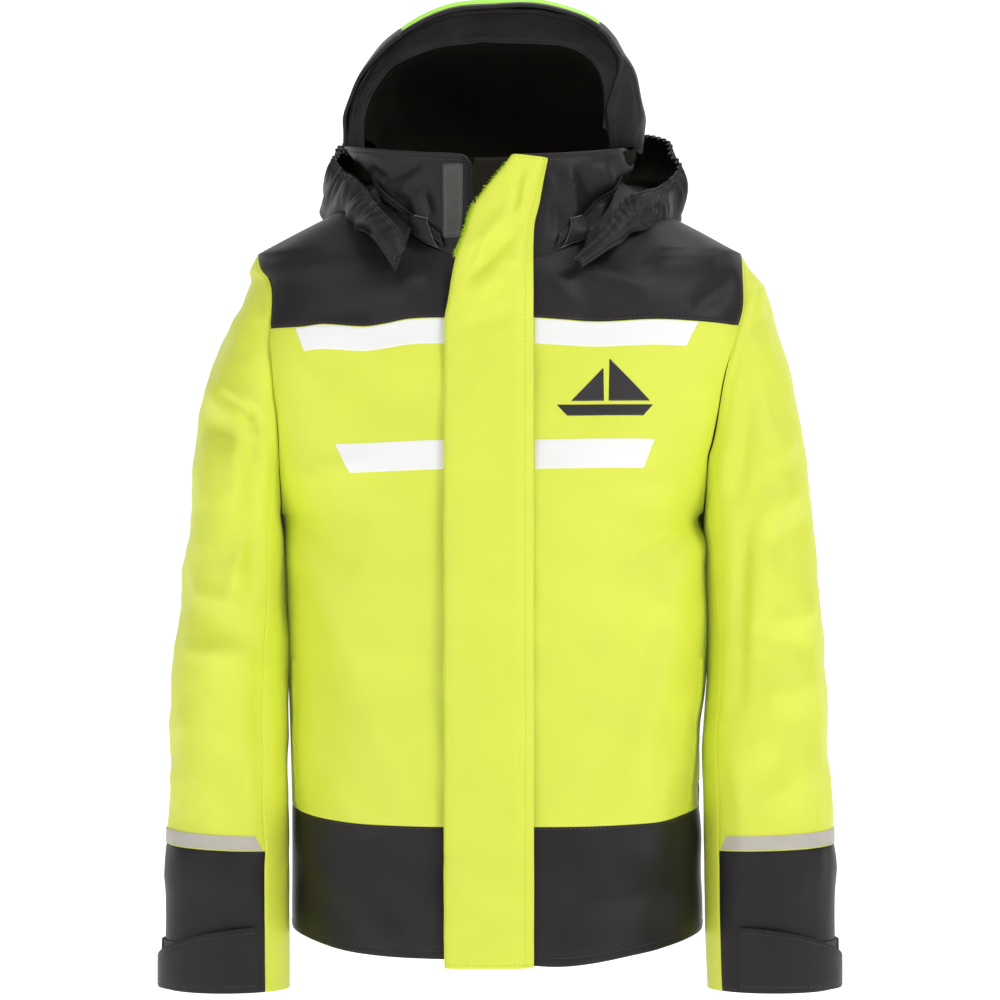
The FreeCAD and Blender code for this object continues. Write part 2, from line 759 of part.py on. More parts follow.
def make_sleeve(side, name):
    outer = (-SEAM_ANGLE + EDGE, SEAM_ANGLE - EDGE)
    under = (SEAM_ANGLE + EDGE, 360 - SEAM_ANGLE - EDGE)
    save(f"sleeve_upper_{name}", sleeve_layer(side, *outer, UPPER, 0, SHELL))
    save(f"sleeve_underarm_{name}", sleeve_layer(side, *under, UPPER, 0, SHELL))
    save(f"sleeve_lining_{name}", sleeve_layer(side, 1, 359, UPPER, 4.0, 1.0))
    save(f"forearm_{name}", sleeve_layer(side, *outer, LOWER + [CUFF_TOP - 0.01], 0, SHELL))
    save(f"forearm_under_{name}", sleeve_layer(side, *under, LOWER + [8, 8.5, LAST], 0, SHELL))
    save(f"cuff_panel_{name}", sleeve_layer(side, *outer, [CUFF_TOP, 8, 8.5, LAST], 0, SHELL))
    band = [CUFF_TOP - 0.115, CUFF_TOP - 0.06, CUFF_TOP - 0.015]
    save(f"reflective_band_{name}", sleeve_layer(side, -118, 112, band, -0.5, 0.4))
    tab = [TAB_TOP, 8.75, LAST - 0.02]
    save(f"cuff_tab_{name}", sleeve_layer(side, -26, SEAM_ANGLE - 8, tab, -5.4, 2.2))
    patch = [TAB_TOP + 0.07, 8.75, LAST - 0.09]
    save(f"cuff_tab_hook_{name}", sleeve_layer(side, -20, 12, patch, -3.1, 1.2))
    save(f"cuff_loop_tape_{name}", sleeve_layer(side, -60, 60, patch, -1.5, 1.3))


def main():
    os.makedirs("parts", exist_ok=True)
    for old in os.listdir("parts"):
        os.remove(os.path.join("parts", old))
    for side, name in ((1, "left"), (-1, "right")):
        save(f"front_panel_{name}", front_panel(side))
        save(f"hem_panel_{name}", hem_front(side))
        save(f"yoke_{name}", yoke_front(side))
        save(f"lining_front_{name}", lining_front(side))
        save(f"collar_{name}", collar_half(side))
        save(f"zip_teeth_{name}", zip_teeth(side))
        outer = side * CENTRE_PANEL_ANGLE
        save(f"hood_side_{name}", hood_panel(*sorted((outer + side * 0.4, side * 88.5)), 9))
        make_sleeve(side, name)
    save("back_panel", back_part(back_levels(HEM_TOP_BACK_Z + SEAM_GAP / 2, YOKE_Z - SEAM_GAP / 2)))
    save("hem_panel_back", back_part([HEM_Z, -565, -520, HEM_TOP_BACK_Z - SEAM_GAP / 2]))
    save("yoke_back", back_part(yoke_levels()))
    save("lining_back", lining_back())
    save("pocket_welts", pocket_welt(1), pocket_welt(-1))
    save("pocket_bags", pocket_bag(1), pocket_bag(-1))
    save("zip_tapes", zip_tape(1), zip_tape(-1))
    save("stow_straps", stow_strap(1), stow_strap(-1))
    save("chest_stripes", *[stripe(side, *row) for row in STRIPES for side in (1, -1)])
    save("chest_emblem", emblem_sail(MAIN_SAIL), emblem_sail(JIB), emblem_hull())
    save("flap_loop_patches", *flap_patches(-1.3, -0.1))
    save("collar_lining", collar_lining())
    save("collar_loop_strip", collar_loop_strip())
    save("zip_stops", *zip_stops())
    save("zip_guard", zip_guard())
    save("keeper_loops", keeper_loop(1), keeper_loop(-1))
    save("hanger_loop", hanger_loop())
    save("stow_flap", stow_flap(1), stow_flap(-1))
    save("zip_slider", zip_slider())
    save("zip_puller", zip_puller())
    save("storm_flap", storm_flap())
    save("flap_hook_patches", *flap_patches(-3.0, -1.7))
    save("hood_centre", hood_panel(-CENTRE_PANEL_ANGLE + 0.4, CENTRE_PANEL_ANGLE - 0.4, 9))
    save("hood_facing", hood_inner(BRIM_ANGLE + 1, FACING_END_ANGLE, 5))
    save("hood_lining", hood_inner(FACING_END_ANGLE + 0.5, 178, 9))


main()
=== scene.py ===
import math

import bpy
import numpy as np
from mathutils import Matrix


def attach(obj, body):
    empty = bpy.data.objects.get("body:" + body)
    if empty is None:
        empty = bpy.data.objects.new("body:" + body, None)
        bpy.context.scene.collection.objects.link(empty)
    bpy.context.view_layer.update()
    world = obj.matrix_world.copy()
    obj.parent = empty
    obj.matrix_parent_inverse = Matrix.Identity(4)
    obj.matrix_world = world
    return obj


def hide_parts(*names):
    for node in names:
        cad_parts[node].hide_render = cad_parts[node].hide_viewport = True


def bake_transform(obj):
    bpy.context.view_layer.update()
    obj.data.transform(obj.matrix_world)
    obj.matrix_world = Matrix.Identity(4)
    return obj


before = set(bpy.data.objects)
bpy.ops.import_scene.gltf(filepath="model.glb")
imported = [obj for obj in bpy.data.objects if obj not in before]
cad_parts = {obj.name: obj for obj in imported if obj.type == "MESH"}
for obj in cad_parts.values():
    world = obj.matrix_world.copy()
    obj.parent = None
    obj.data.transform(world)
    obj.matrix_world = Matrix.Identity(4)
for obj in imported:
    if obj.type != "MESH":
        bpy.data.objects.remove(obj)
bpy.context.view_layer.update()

MM = 0.001
rng = np.random.default_rng(7)

# ================================ Camera, lights and world ===============================
camera = bpy.data.objects.new("camera", bpy.data.cameras.new("camera"))
camera.data.lens = 126.0
camera.data.sensor_width = 36.0
camera.location = (0.0, -2.8, -0.248)
camera.rotation_euler = (math.radians(90), 0.0, 0.0)
bpy.context.scene.collection.objects.link(camera)
bpy.context.scene.camera = camera
bpy.context.scene.view_settings.view_transform = "Standard"


def area_light(name, place, aim, size, power):
    lamp = bpy.data.lights.new(name, "AREA")
    lamp.size = size
    lamp.energy = power
    made = bpy.data.objects.new(name, lamp)
    made.location = place
    way = np.array(aim) - np.array(place)
    made.rotation_euler = (math.atan2(math.hypot(way[0], way[1]), -way[2]), 0.0, math.atan2(-way[0], way[1]))
    bpy.context.scene.collection.objects.link(made)


area_light("key", (1.5, -1.7, 1.5), (0.0, 0.0, -0.2), 0.8, 31.0)
area_light("fill", (-1.9, -1.9, 0.6), (0.0, 0.0, -0.25), 1.4, 13.0)
area_light("top", (0.3, 0.5, 1.9), (0.0, 0.0, -0.2), 1.2, 16.0)
world = bpy.data.worlds.new("studio")
bpy.context.scene.world = world
world.use_nodes = True
world.node_tree.nodes["Background"].inputs["Color"].default_value = (1.0, 1.0, 1.0, 1.0)
world.node_tree.nodes["Background"].inputs["Strength"].default_value = 0.28


# ================================ Materials ================================
def new_material(name, color, rough, **sockets):
    made = bpy.data.materials.new(name)
    made.use_nodes = True
    shader = made.node_tree.nodes["Principled BSDF"]
    shader.inputs["Base Color"].default_value = (*color, 1.0)
    shader.inputs["Roughness"].default_value = rough
    for key, value in sockets.items():
        shader.inputs[key.replace("_", " ")].default_value = value
    return made, made.node_tree, shader


def noise_node(tree, vector, scale, detail=3.0):
    node = tree.nodes.new("ShaderNodeTexNoise")
    node.inputs["Scale"].default_value = scale
    node.inputs["Detail"].default_value = detail
    tree.links.new(vector, node.inputs["Vector"])
    return node.outputs["Fac"]


def stripes_node(tree, vector, scale, direction):
    node = tree.nodes.new("ShaderNodeTexWave")
    node.bands_direction = direction
    node.inputs["Scale"].default_value = scale
    node.inputs["Distortion"].default_value = 0.6
    tree.links.new(vector, node.inputs["Vector"])
    return node.outputs["Fac"]


def combine(tree, kind, a, b):
    node = tree.nodes.new("ShaderNodeMath")
    node.operation = kind
    tree.links.new(a, node.inputs[0])
    if isinstance(b, float):
        node.inputs[1].default_value = b
    else:
        tree.links.new(b, node.inputs[1])
    return node.outputs[0]


def bump(tree, shader, height, strength, distance, normal=None):
    node = tree.nodes.new("ShaderNodeBump")
    node.inputs["Strength"].default_value = strength
    node.inputs["Distance"].default_value = distance
    tree.links.new(height, node.inputs["Height"])
    if normal is not None:
        tree.links.new(normal, node.inputs["Normal"])
    tree.links.new(node.outputs["Normal"], shader.inputs["Normal"])
    return node.outputs["Normal"]


def vary(tree, shader, low, high, fac):
    mix = tree.nodes.new("ShaderNodeMix")
    mix.data_type = "RGBA"
    mix.inputs["A"].default_value = (*low, 1.0)
    mix.inputs["B"].default_value = (*high, 1.0)
    tree.links.new(fac, mix.inputs["Factor"])
    tree.links.new(mix.outputs["Result"], shader.inputs["Base Color"])


def shade(color, factor):
    return tuple(min(1.0, c * factor) for c in color)


def cloth_material(name, color, rough, weave=900.0, depth=0.00012, change=0.06, grain=1400.0, **sockets):
    """Woven cloth: crossing threads, a fine grain, a cloudy tone, and slight crumples in the surface."""
    made, tree, shader = new_material(name, color, rough, **sockets)
    uv = tree.nodes.new("ShaderNodeTexCoord").outputs["UV"]
    place = tree.nodes.new("ShaderNodeTexCoord").outputs["Object"]
    warp, weft = stripes_node(tree, uv, weave, "X"), stripes_node(tree, uv, weave, "Y")
    threads = combine(tree, "MULTIPLY", warp, weft)
    grainy = combine(tree, "ADD", threads, noise_node(tree, place, grain))
    soft = bump(tree, shader, noise_node(tree, place, 38.0, 4.0), 0.25, 0.003)
    bump(tree, shader, grainy, 0.35, depth, soft)
    cloudy = noise_node(tree, place, 14.0, 5.0)
    vary(tree, shader, shade(color, 1 - change), shade(color, 1 + change), cloudy)
    return made


def pile_material(name, color, scale, depth, change=0.3, **sockets):
    """A brushed pile, such as fleece or loop tape."""
    made, tree, shader = new_material(name, color, 0.95, **sockets)
    place = tree.nodes.new("ShaderNodeTexCoord").outputs["Object"]
    tufts = noise_node(tree, place, scale, 6.0)
    bump(tree, shader, tufts, 0.9, depth)
    cloudy = noise_node(tree, place, scale / 6, 4.0)
    vary(tree, shader, shade(color, 1 - change), shade(color, 1 + change), cloudy)
    return made


YELLOW = cloth_material("yellow_twill", (0.73, 0.81, 0.050), 0.55, Sheen_Weight=0.14, Sheen_Roughness=0.4,
                        Specular_IOR_Level=0.85)
LIME = cloth_material("lime_twill", (0.42, 0.95, 0.02), 0.5)
CHARCOAL = cloth_material("charcoal_twill", (0.0122, 0.0102, 0.0107), 0.44, change=0.12,
                          Specular_IOR_Level=0.32)
FLEECE = pile_material("fleece", (0.0075, 0.0058, 0.0034), 420.0, 0.0014, Specular_IOR_Level=0.15)
PLACKET = cloth_material("placket_cloth", (0.0075, 0.0055, 0.0015), 0.8, Specular_IOR_Level=0.2)
INNER = cloth_material("inner_lining", (0.05, 0.05, 0.052), 0.6)
FILM = new_material("white_film", (0.87, 0.87, 0.87), 0.42)[0]
THREAD_YELLOW = new_material("thread_yellow", (0.60, 0.70, 0.03), 0.6)[0]
THREAD_DARK = new_material("thread_dark", (0.050, 0.047, 0.048), 0.5)[0]
THREAD_PALE = new_material("thread_pale", (0.16, 0.16, 0.16), 0.6)[0]
THREAD_GREY = new_material("thread_grey", (0.30, 0.29, 0.28), 0.6)[0]
LOOP_DARK = pile_material("loop_tape", (0.075, 0.075, 0.070), 900.0, 0.0008)
LOOP_LIME = pile_material("loop_lime", (0.60, 0.86, 0.03), 700.0, 0.0010, 0.15)
WEBBING = cloth_material("webbing", (0.026, 0.025, 0.026), 0.6, weave=500.0, depth=0.0003)
ENAMEL = cloth_material("black_enamel", (0.03, 0.03, 0.032), 0.3, weave=10.0, depth=0.00001, Metallic=0.6)


def tape_material():
    made, tree, shader = new_material("reflective_tape", (0.50, 0.47, 0.42), 0.55)
    uv = tree.nodes.new("ShaderNodeTexCoord").outputs["UV"]
    slanted, upright = stripes_node(tree, uv, 240.0, "DIAGONAL"), stripes_node(tree, uv, 240.0, "X")
    bump(tree, shader, combine(tree, "MAXIMUM", slanted, upright), 0.3, 0.0001)
    vary(tree, shader, (0.44, 0.41, 0.36), (0.56, 0.53, 0.48), noise_node(tree, uv, 60.0, 5.0))
    return made


TAPE = tape_material()


# ================================ Curves and surfaces, in millimetres ================================
def power(value, exponent):
    """A power that keeps the value's sign."""
    return np.sign(value) * np.abs(value) ** exponent


def bell(value):
    return np.exp(-(value**2))


def ramp(value, low, high):
    """0 at low, 1 at high, straight between them and level beyond. Low may be the larger of the two."""
    return np.clip((value - low) / (high - low), 0, 1)


def crossed(us, vs):
    return np.meshgrid(us, vs, indexing="ij")


def curve(table, at, column=1):
    """A smooth curve through a table's points, read at any number of places."""
    rows = np.array(table, float)
    x, y = rows[:, 0], rows[:, column]
    last = len(x) - 1
    low, high = np.maximum(np.arange(last + 1) - 1, 0), np.minimum(np.arange(last + 1) + 1, last)
    slope = (y[high] - y[low]) / (x[high] - x[low])
    at = np.clip(np.asarray(at, float), x[0], x[-1])
    i = np.clip(np.searchsorted(x, at, "right") - 1, 0, last - 1)
    step = x[i + 1] - x[i]
    t = (at - x[i]) / step
    start = (2 * t**3 - 3 * t**2 + 1) * y[i] + (t**3 - 2 * t**2 + t) * step * slope[i]
    return start + (3 * t**2 - 2 * t**3) * y[i + 1] + (t**3 - t**2) * step * slope[i + 1]


HEM_Z, HEM_TOP_FRONT, HEM_TOP_BACK = -600.0, -499.0, -480.0
YOKE_Z, ARMPIT_Z, TIP_Z = -111.0, -262.0, -52.0
ARMPIT_X, TIP_X, ARMHOLE_DEPTH = 174.0, 196.0, 62.0
NECK_SIDE, NECK_FRONT, NECK_WIDTH, NECK_CURVE = 4.0, -63.0, 84.0, 0.8
ROUND = 2.4  # The sections are superellipses with this exponent.
HALF_WIDTHS = [(-600, 166), (-496, 166), (-380, 169), (-262, 172)]
BACK_DEPTHS = [(-600, 106), (-480, 110), (-300, 114), (-150, 110), (-80, 101), (-30, 86), (10, 69)]
ZIP_X, FRONT_LEAN, FRONT_FOOT = -10.0, 0.0585, -120.0
SHOULDER_SLOPE = 2.0


def front_y(z):
    """The middle of the front leans back a little towards the neck."""
    return FRONT_FOOT + FRONT_LEAN * (z - HEM_Z)


def edge_x(z):
    """Half the body's width: the side, then the armhole's seam, then the slope of the shoulder."""
    z = np.asarray(z, float)
    side = curve(HALF_WIDTHS, z)
    arm = ARMPIT_X + (TIP_X - ARMPIT_X) * (z - ARMPIT_Z) / (TIP_Z - ARMPIT_Z)
    top = TIP_X - SHOULDER_SLOPE * (z - TIP_Z)
    return np.where(z <= ARMPIT_Z, side, np.where(z <= TIP_Z, arm, top))


def armhole(z):
    """Half the armhole's depth from front to back."""
    reach = (np.asarray(z, float) - (ARMPIT_Z + TIP_Z) / 2) / ((TIP_Z - ARMPIT_Z) / 2)
    return ARMHOLE_DEPTH * np.sqrt(np.maximum(0.0, 1 - reach**2))


def quarter(z):
    """Where a quarter of the section ends at the armhole: its share of the width, its angle and its depth."""
    keep = 1 - 0.04 * armhole(z) / ARMHOLE_DEPTH
    last = np.arcsin(keep ** (ROUND / 2))
    return keep, last, power(np.cos(last), 2 / ROUND)


def torso(turn, z, front):
    """The torso's surface, at an angle round its section from the centre towards the wearer's left."""
    keep, rest = quarter(z)[::2]
    x = power(np.sin(turn), 2 / ROUND) / keep * edge_x(z)
    if front:
        beside = np.minimum(1.0, np.abs(x) / 60) ** 2
        hollow = 0.004 * np.maximum(0.0, z + 100) ** 2
        middle, rim = front_y(z) + hollow * beside, -armhole(z)
    else:
        middle, rim = curve(BACK_DEPTHS, z), armhole(z)
    full = (power(np.cos(turn), 2 / ROUND) - rest) / (1 - rest)
    return np.stack([x, rim + (middle - rim) * full, z + 0 * x], -1)


ARMHOLE_SHIFT = {
    -1: [(-320, 0), (-262, 0), (-250, -2), (-195, -7), (-155, -8), (-113, -10), (-90, -12), (-74, -11),
         (-66, -5), (-52, -2), (-30, 0)],
    1: [(-640, -2), (-600, -4), (-520, -6), (-437, -7), (-380, -4), (-315, -6), (-280, -9), (-262, -11.5),
        (-233, -14), (-214, -15), (-203, -13), (-188, -11.7), (-160, -10), (-127, -5.6), (-109, -2), (-95, 0),
        (-52, -3), (-30, 0)],
}
YOKE_WAVE = [(-190, -2.8), (-160, -2), (-141, 0), (-106, -2), (-90, 0), (-71, 3.4), (-43, 4.3), (25, 4.5),
             (74, 1.3), (120, 3.6), (152, 2.8), (185, 0)]
STRIPE_WAVE = [(-180, 0), (-125, -0.5), (-44, 2.5), (25, 3.0), (120, 3.6), (180, 0)]


def settle(points, reach=46.0):
    """The small shifts of the worn garment from its even pattern, at the armholes, the yoke and the stripes."""
    x, y, z = points[..., 0], points[..., 1], points[..., 2]
    moved = points.copy()
    for side in (1, -1):
        up_the_arm = np.clip((z - ARMPIT_Z) / (TIP_Z - ARMPIT_Z), -0.1, 1)
        seam = ARMPIT_X + (TIP_X - ARMPIT_X) * up_the_arm
        near = bell((side * x - seam) / reach) * (side * x > 0)
        moved[..., 0] += side * curve(ARMHOLE_SHIFT[side], z) * near
    ahead = np.clip(-y / 40, 0, 1)
    moved[..., 2] += curve(YOKE_WAVE, x) * bell((z + 113) / 42) * ahead
    moved[..., 2] += curve(STRIPE_WAVE, x) * bell((z + 215) / 45) * ahead
    return moved


def torso_turn(x, z):
    """The angle round the section at which the torso's surface has a given x."""
    keep = quarter(z)[0]
    return np.sign(x) * np.arcsin(np.minimum(1.0, keep * np.abs(x) / edge_x(z)) ** (ROUND / 2))


def front_at(x, z):
    """The torso's front surface at an x and a height."""
    x, z = np.broadcast_arrays(np.asarray(x, float), np.asarray(z, float))
    return torso(torso_turn(x, z), z, True)


def neck_z(ahead):
    """The neckline's height. Ahead is 1 at the front's middle, and 0 or less from the sides to the back."""
    return NECK_SIDE - (NECK_SIDE - NECK_FRONT) * np.maximum(0.0, ahead) ** NECK_CURVE


def neck_x(z):
    """How far from the middle the front's neckline is at a height."""
    c = np.clip((NECK_SIDE - z) / (NECK_SIDE - NECK_FRONT), 0, 1) ** (1 / NECK_CURVE)
    return NECK_WIDTH * np.sqrt(np.maximum(0.0, 1 - c * c))


def neck(angle):
    """The neckline, on the torso, at an angle from the front's middle towards the wearer's left."""
    a = np.radians(angle)
    x, c = NECK_WIDTH * np.sin(a), np.cos(a)
    z = neck_z(c)
    at_front = torso(torso_turn(x, z), z, True)
    at_back = torso(torso_turn(x, z), z, False)
    return np.where((c >= 0)[..., None], at_front, at_back)


HOOD_RADII = [(78, 108), (95, 115), (120, 114), (150, 106), (180, 93)]
HOOD_SQUARE = [(78, 2.5), (120, 2.4), (180, 2.0)]
LINING_RADII = [(79, 105), (84, 96), (90, 86), (100, 82), (130, 84), (160, 84), (180, 84)]
LINING_WIDTHS = [(79, 116), (84, 106), (90, 97), (100, 95), (130, 97), (160, 102), (180, 108)]
HOOD_Y, HOOD_Z, HOOD_WIDTH = 8.0, 39.5, 120.0


def arch(across, lean, radius, width, square):
    """A rib of the hood: across runs over the head from side to side, lean from the face to the back."""
    a, b = np.radians(across), np.radians(lean)
    out = radius * power(np.cos(a), 2 / square)
    x = width * power(np.sin(a), 2 / square)
    return np.stack([x, HOOD_Y - out * np.cos(b), HOOD_Z + out * np.sin(b)], -1)


# Rings of the sleeve: station, outer x and z, inner x and z, half the depth, and the y of the middle.
SLEEVE = [
    (0, TIP_X, TIP_Z, ARMPIT_X, ARMPIT_Z, ARMHOLE_DEPTH, 0), (1, 211, -76, 172.5, -268, 66, -2),
    (2, 223, -112, 170, -280, 69, -4), (3, 234, -155, 169, -300, 69, -7),
    (4, 244, -215, 168.5, -327, 66, -11), (5, 251, -288, 167.8, -350, 61, -16),
    (6, 257, -358, 167.5, -376, 57, -21), (7, 262, -450, 167, -458, 51, -31),
    (8, 264, -540, 166, -543, 46, -40), (9, 264, -631, 165, -631, 42, -45),
]
ELBOW_ROW, CUFF_TOP, TAB_TOP, CUFF_END = 6.0, 7.76, 8.50, 9.0
SEAM_ANGLE, FRONT_SEAM = 127.0, {1: 143.0, -1: 131.0}


def sleeve(side, angle, station):
    """A point of the sleeve: angle 0 is outermost, 90 ahead, and stations run from the armhole to the cuff."""
    angle, station = np.broadcast_arrays(np.asarray(angle, float), np.asarray(station, float))
    ox, oz, ix, iz, depth, middle = [curve(SLEEVE, station, k) for k in range(1, 7)]
    a = np.radians(angle)
    x = side * ((ox + ix) / 2 + (ox - ix) / 2 * np.cos(a))
    return np.stack([x, middle - depth * np.sin(a), (oz + iz) / 2 + (oz - iz) / 2 * np.cos(a)], -1)


# ================================ Folds ================================
def folds(place, lines):
    """Soft creases: each line is x0, z0, x1, z1, width, height, and tapers to nothing at its ends."""
    total = np.zeros(place.shape[:-1])
    for x0, z0, x1, z1, width, height in lines:
        a, b = np.array([x0, z0]), np.array([x1, z1])
        along = (b - a) / np.sum((b - a) ** 2)
        t = np.clip((place - a) @ along, 0, 1)
        far = np.linalg.norm(place - (a + t[..., None] * (b - a)), axis=-1)
        total += height * bell(far / width) * (4 * t * (1 - t)) ** 0.6
    return total


def ripple(place, size, height, seed):
    """Slow unevenness: a few waves that cross at odd angles."""
    waves = np.random.default_rng(seed)
    total = np.zeros(place.shape[:-1])
    for _ in range(7):
        angle, phase = waves.uniform(0, 2 * math.pi, 2)
        length = size * waves.uniform(0.6, 1.7)
        way = np.array([math.cos(angle), math.sin(angle)]) * 2 * math.pi / length
        total += np.sin(place @ way + phase)
    return total * height / 2.6


# ================================ Mesh building ================================
def unit(v):
    return v / np.maximum(np.linalg.norm(v, axis=-1, keepdims=True), 1e-9)


def normals_of(points, heart):
    """Unit normals of a grid of points, pointing away from the heart."""
    n = unit(np.cross(np.gradient(points, axis=0), np.gradient(points, axis=1)))
    toward = np.sum(n * (points - np.asarray(heart, float)), axis=-1)
    return n if toward.mean() > 0 else -n


def lengths(points, axis):
    """How far along an axis of the grid each point lies."""
    step = np.linalg.norm(np.diff(points, axis=axis), axis=-1)
    zero = np.zeros_like(np.take(step, [0], axis=axis))
    return np.concatenate([zero, np.cumsum(step, axis=axis)], axis=axis)


def spread(length, step, fine=(0.7, 1.6, 2.8, 4.2, 6.0, 8.5)):
    """Shares from 0 to 1 of a length, close together near both ends."""
    ends = np.array([0.0] + [near for near in fine if near < 0.45 * length])  # Both ends fit on a short length.
    inner = np.linspace(ends[-1], length - ends[-1], max(3, int((length - 2 * ends[-1]) / step)))[1:-1]
    return np.concatenate([ends, inner, length - ends[::-1]]) / length


class Build:
    """Collects vertices, faces, materials and UVs for one mesh."""

    def __init__(self):
        self.verts, self.uvs, self.faces, self.marks, self.materials, self.count = [], [], [], [], [], 0

    def mark(self, material):
        """The material's slot number in this mesh."""
        if material not in self.materials:
            self.materials.append(material)
        return self.materials.index(material)

    def add(self, points, uv, faces, material):
        self.verts.append(np.asarray(points, float).reshape(-1, 3))
        self.uvs.append(np.asarray(uv, float).reshape(-1, 2))
        faces = np.asarray(faces, int) + self.count
        self.faces.append(faces)
        self.marks.append(np.full(len(faces), self.mark(material)))
        self.count += len(self.verts[-1])

    def sheet(self, outer, inner, material, lining=None):
        """Two grids of points joined round their edges."""
        n, m = outer.shape[:2]
        uv = np.stack([lengths(outer, 0), lengths(outer, 1)], -1) * MM
        index = np.arange(n * m).reshape(n, m)

        def quads(grid):
            return np.stack([grid[:-1, :-1], grid[1:, :-1], grid[1:, 1:], grid[:-1, 1:]], -1).reshape(-1, 4)

        front, back = quads(index), quads(index + n * m)[:, ::-1]
        ring = np.concatenate([index[:, 0], index[-1, 1:], index[-2::-1, -1], index[0, -2:0:-1]])
        following = np.roll(ring, -1)
        rim = np.stack([following, ring, ring + n * m, following + n * m], -1)
        self.add(np.concatenate([outer.reshape(-1, 3), inner.reshape(-1, 3)]),
                 np.concatenate([uv.reshape(-1, 2)] * 2), np.concatenate([front, rim]), material)
        base = self.count - 2 * n * m
        self.faces.append(back + base)
        self.marks.append(np.full(len(back), self.mark(lining or material)))

    def stitches(self, line, normal, material, pitch=3.4, long=2.5, thick=0.40, lift=0.16):
        """A row of thread stitches along a line of points on the cloth."""
        line, normal = np.asarray(line, float), np.asarray(normal, float)
        run = np.concatenate([[0], np.cumsum(np.linalg.norm(np.diff(line, axis=0), axis=1))])
        count = int(run[-1] / pitch)
        if count < 1:
            return
        starts = (np.arange(count) + 0.12) * run[-1] / count

        def at(s, values):
            return np.stack([np.interp(s, run, values[:, k]) for k in range(3)], -1)

        places = [at(starts + long * share, line) for share in (0.0, 0.5, 1.0)]
        up = unit(at(starts + long / 2, normal))
        ahead = unit(places[2] - places[0])
        side = unit(np.cross(ahead, up))
        rings = []
        for place, rise, fat in zip(places, (-0.15, lift, -0.15), (0.5, 1.0, 0.5)):
            centre = place + up * rise
            wide, tall = side * thick * fat, up * thick * 1.1 * fat
            rings += [centre + wide, centre + tall, centre - wide]
        self.repeat(np.stack(rings, 1), [[k, k + 1, k + 4, k + 3] for k in (0, 1, 3, 4)], material)

    def repeat(self, points, local, material):
        """The same few faces, once for every row of points."""
        count, each = points.shape[:2]
        faces = (np.arange(count)[:, None, None] * each + np.array(local)[None]).reshape(-1, 4)
        self.add(points.reshape(-1, 3), np.zeros((count * each, 2)), faces, material)

    def tube(self, line, radius, material, sides=8):
        """A round cord or bound edge along a line of points."""
        line = np.asarray(line, float)
        ahead = unit(np.gradient(line, axis=0))
        side = unit(np.cross(ahead, np.array([0.013, 0.021, 1.0])))
        up = unit(np.cross(side, ahead))
        turn = np.linspace(0, 2 * math.pi, sides, endpoint=False)
        radius = np.broadcast_to(np.asarray(radius, float), (len(line),))
        around = np.cos(turn)[None, :, None] * side[:, None] + np.sin(turn)[None, :, None] * up[:, None]
        ring = line[:, None] + radius[:, None, None] * around
        n = len(line)
        index = np.arange(n * sides).reshape(n, sides)
        beside = np.roll(index, -1, axis=1)
        faces = np.stack([index[:-1], beside[:-1], beside[1:], index[1:]], -1).reshape(-1, 4)
        uv = np.stack([np.repeat(lengths(line, 0), sides), np.tile(turn * radius.mean(), n)], -1) * MM
        base = self.count
        self.add(ring, uv, faces, material)
        for end, rim in ((0, index[0][::-1]), (n - 1, index[-1])):
            centre = self.count
            self.add(line[end:end + 1], np.zeros((1, 2)), np.zeros((0, 4)), material)
            fan = np.stack([rim, np.roll(rim, -1)], -1) + base
            self.faces.append(np.concatenate([fan, np.full((sides, 2), centre)], 1))
            self.marks.append(np.full(sides, self.mark(material)))

    def finish(self, name, body=None, replaces=(), slot=None, blend=None):
        """Makes the object. It rides on a body, or, given a blend, stands free of any body with its transform
        baked into its mesh.
        """
        verts = np.concatenate(self.verts) * MM
        faces = [tuple(dict.fromkeys(f)) for f in np.concatenate(self.faces).tolist()]
        mesh = bpy.data.meshes.new(name)
        mesh.from_pydata(verts.tolist(), [], faces)
        for material in self.materials:
            mesh.materials.append(material)
        mesh.polygons.foreach_set("material_index", np.concatenate(self.marks).astype(np.int32))
        uvs = np.concatenate(self.uvs)
        corners = np.zeros(len(mesh.loops), np.int32)
        mesh.loops.foreach_get("vertex_index", corners)
        layer = mesh.uv_layers.new(name="cloth")
        layer.data.foreach_set("uv", uvs[corners].astype(np.float32).ravel())
        mesh.shade_smooth()
        mesh.set_sharp_from_angle(angle=math.radians(48))
        mesh.update()
        made = bpy.data.objects.new(name, mesh)
        bpy.context.scene.collection.objects.link(made)
        if blend:
            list(blend)
            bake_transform(made)
        else:
            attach(made, body)
        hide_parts(*replaces)
        return made


def grooves(points, edges):
    """Where the cloth turns down into its seams and hems, in millimetres below the surface."""
    total = np.zeros(points.shape[:2])
    u, v = lengths(points, 0), lengths(points, 1)
    far = {"u0": u, "u1": u[-1:] - u, "v0": v, "v1": v[:, -1:] - v}
    for edge, deep, wide in edges:
        total += deep * bell(far[edge] / wide)
    return total


def rows_at(points, edge, distance):
    """The grid line nearest to a distance from an edge, as a slice."""
    axis = 0 if edge[0] == "u" else 1
    far = lengths(points, axis).mean(axis=1 - axis)
    far = far if edge[1] == "0" else far[-1] - far
    k = int(np.argmin(np.abs(far - distance)))
    return (k, slice(None)) if axis == 0 else (slice(None), k)


SEAM = 0.55, 1.0  # A seam's depth and width.
ALL_EDGES = "u0 u1 v0 v1"


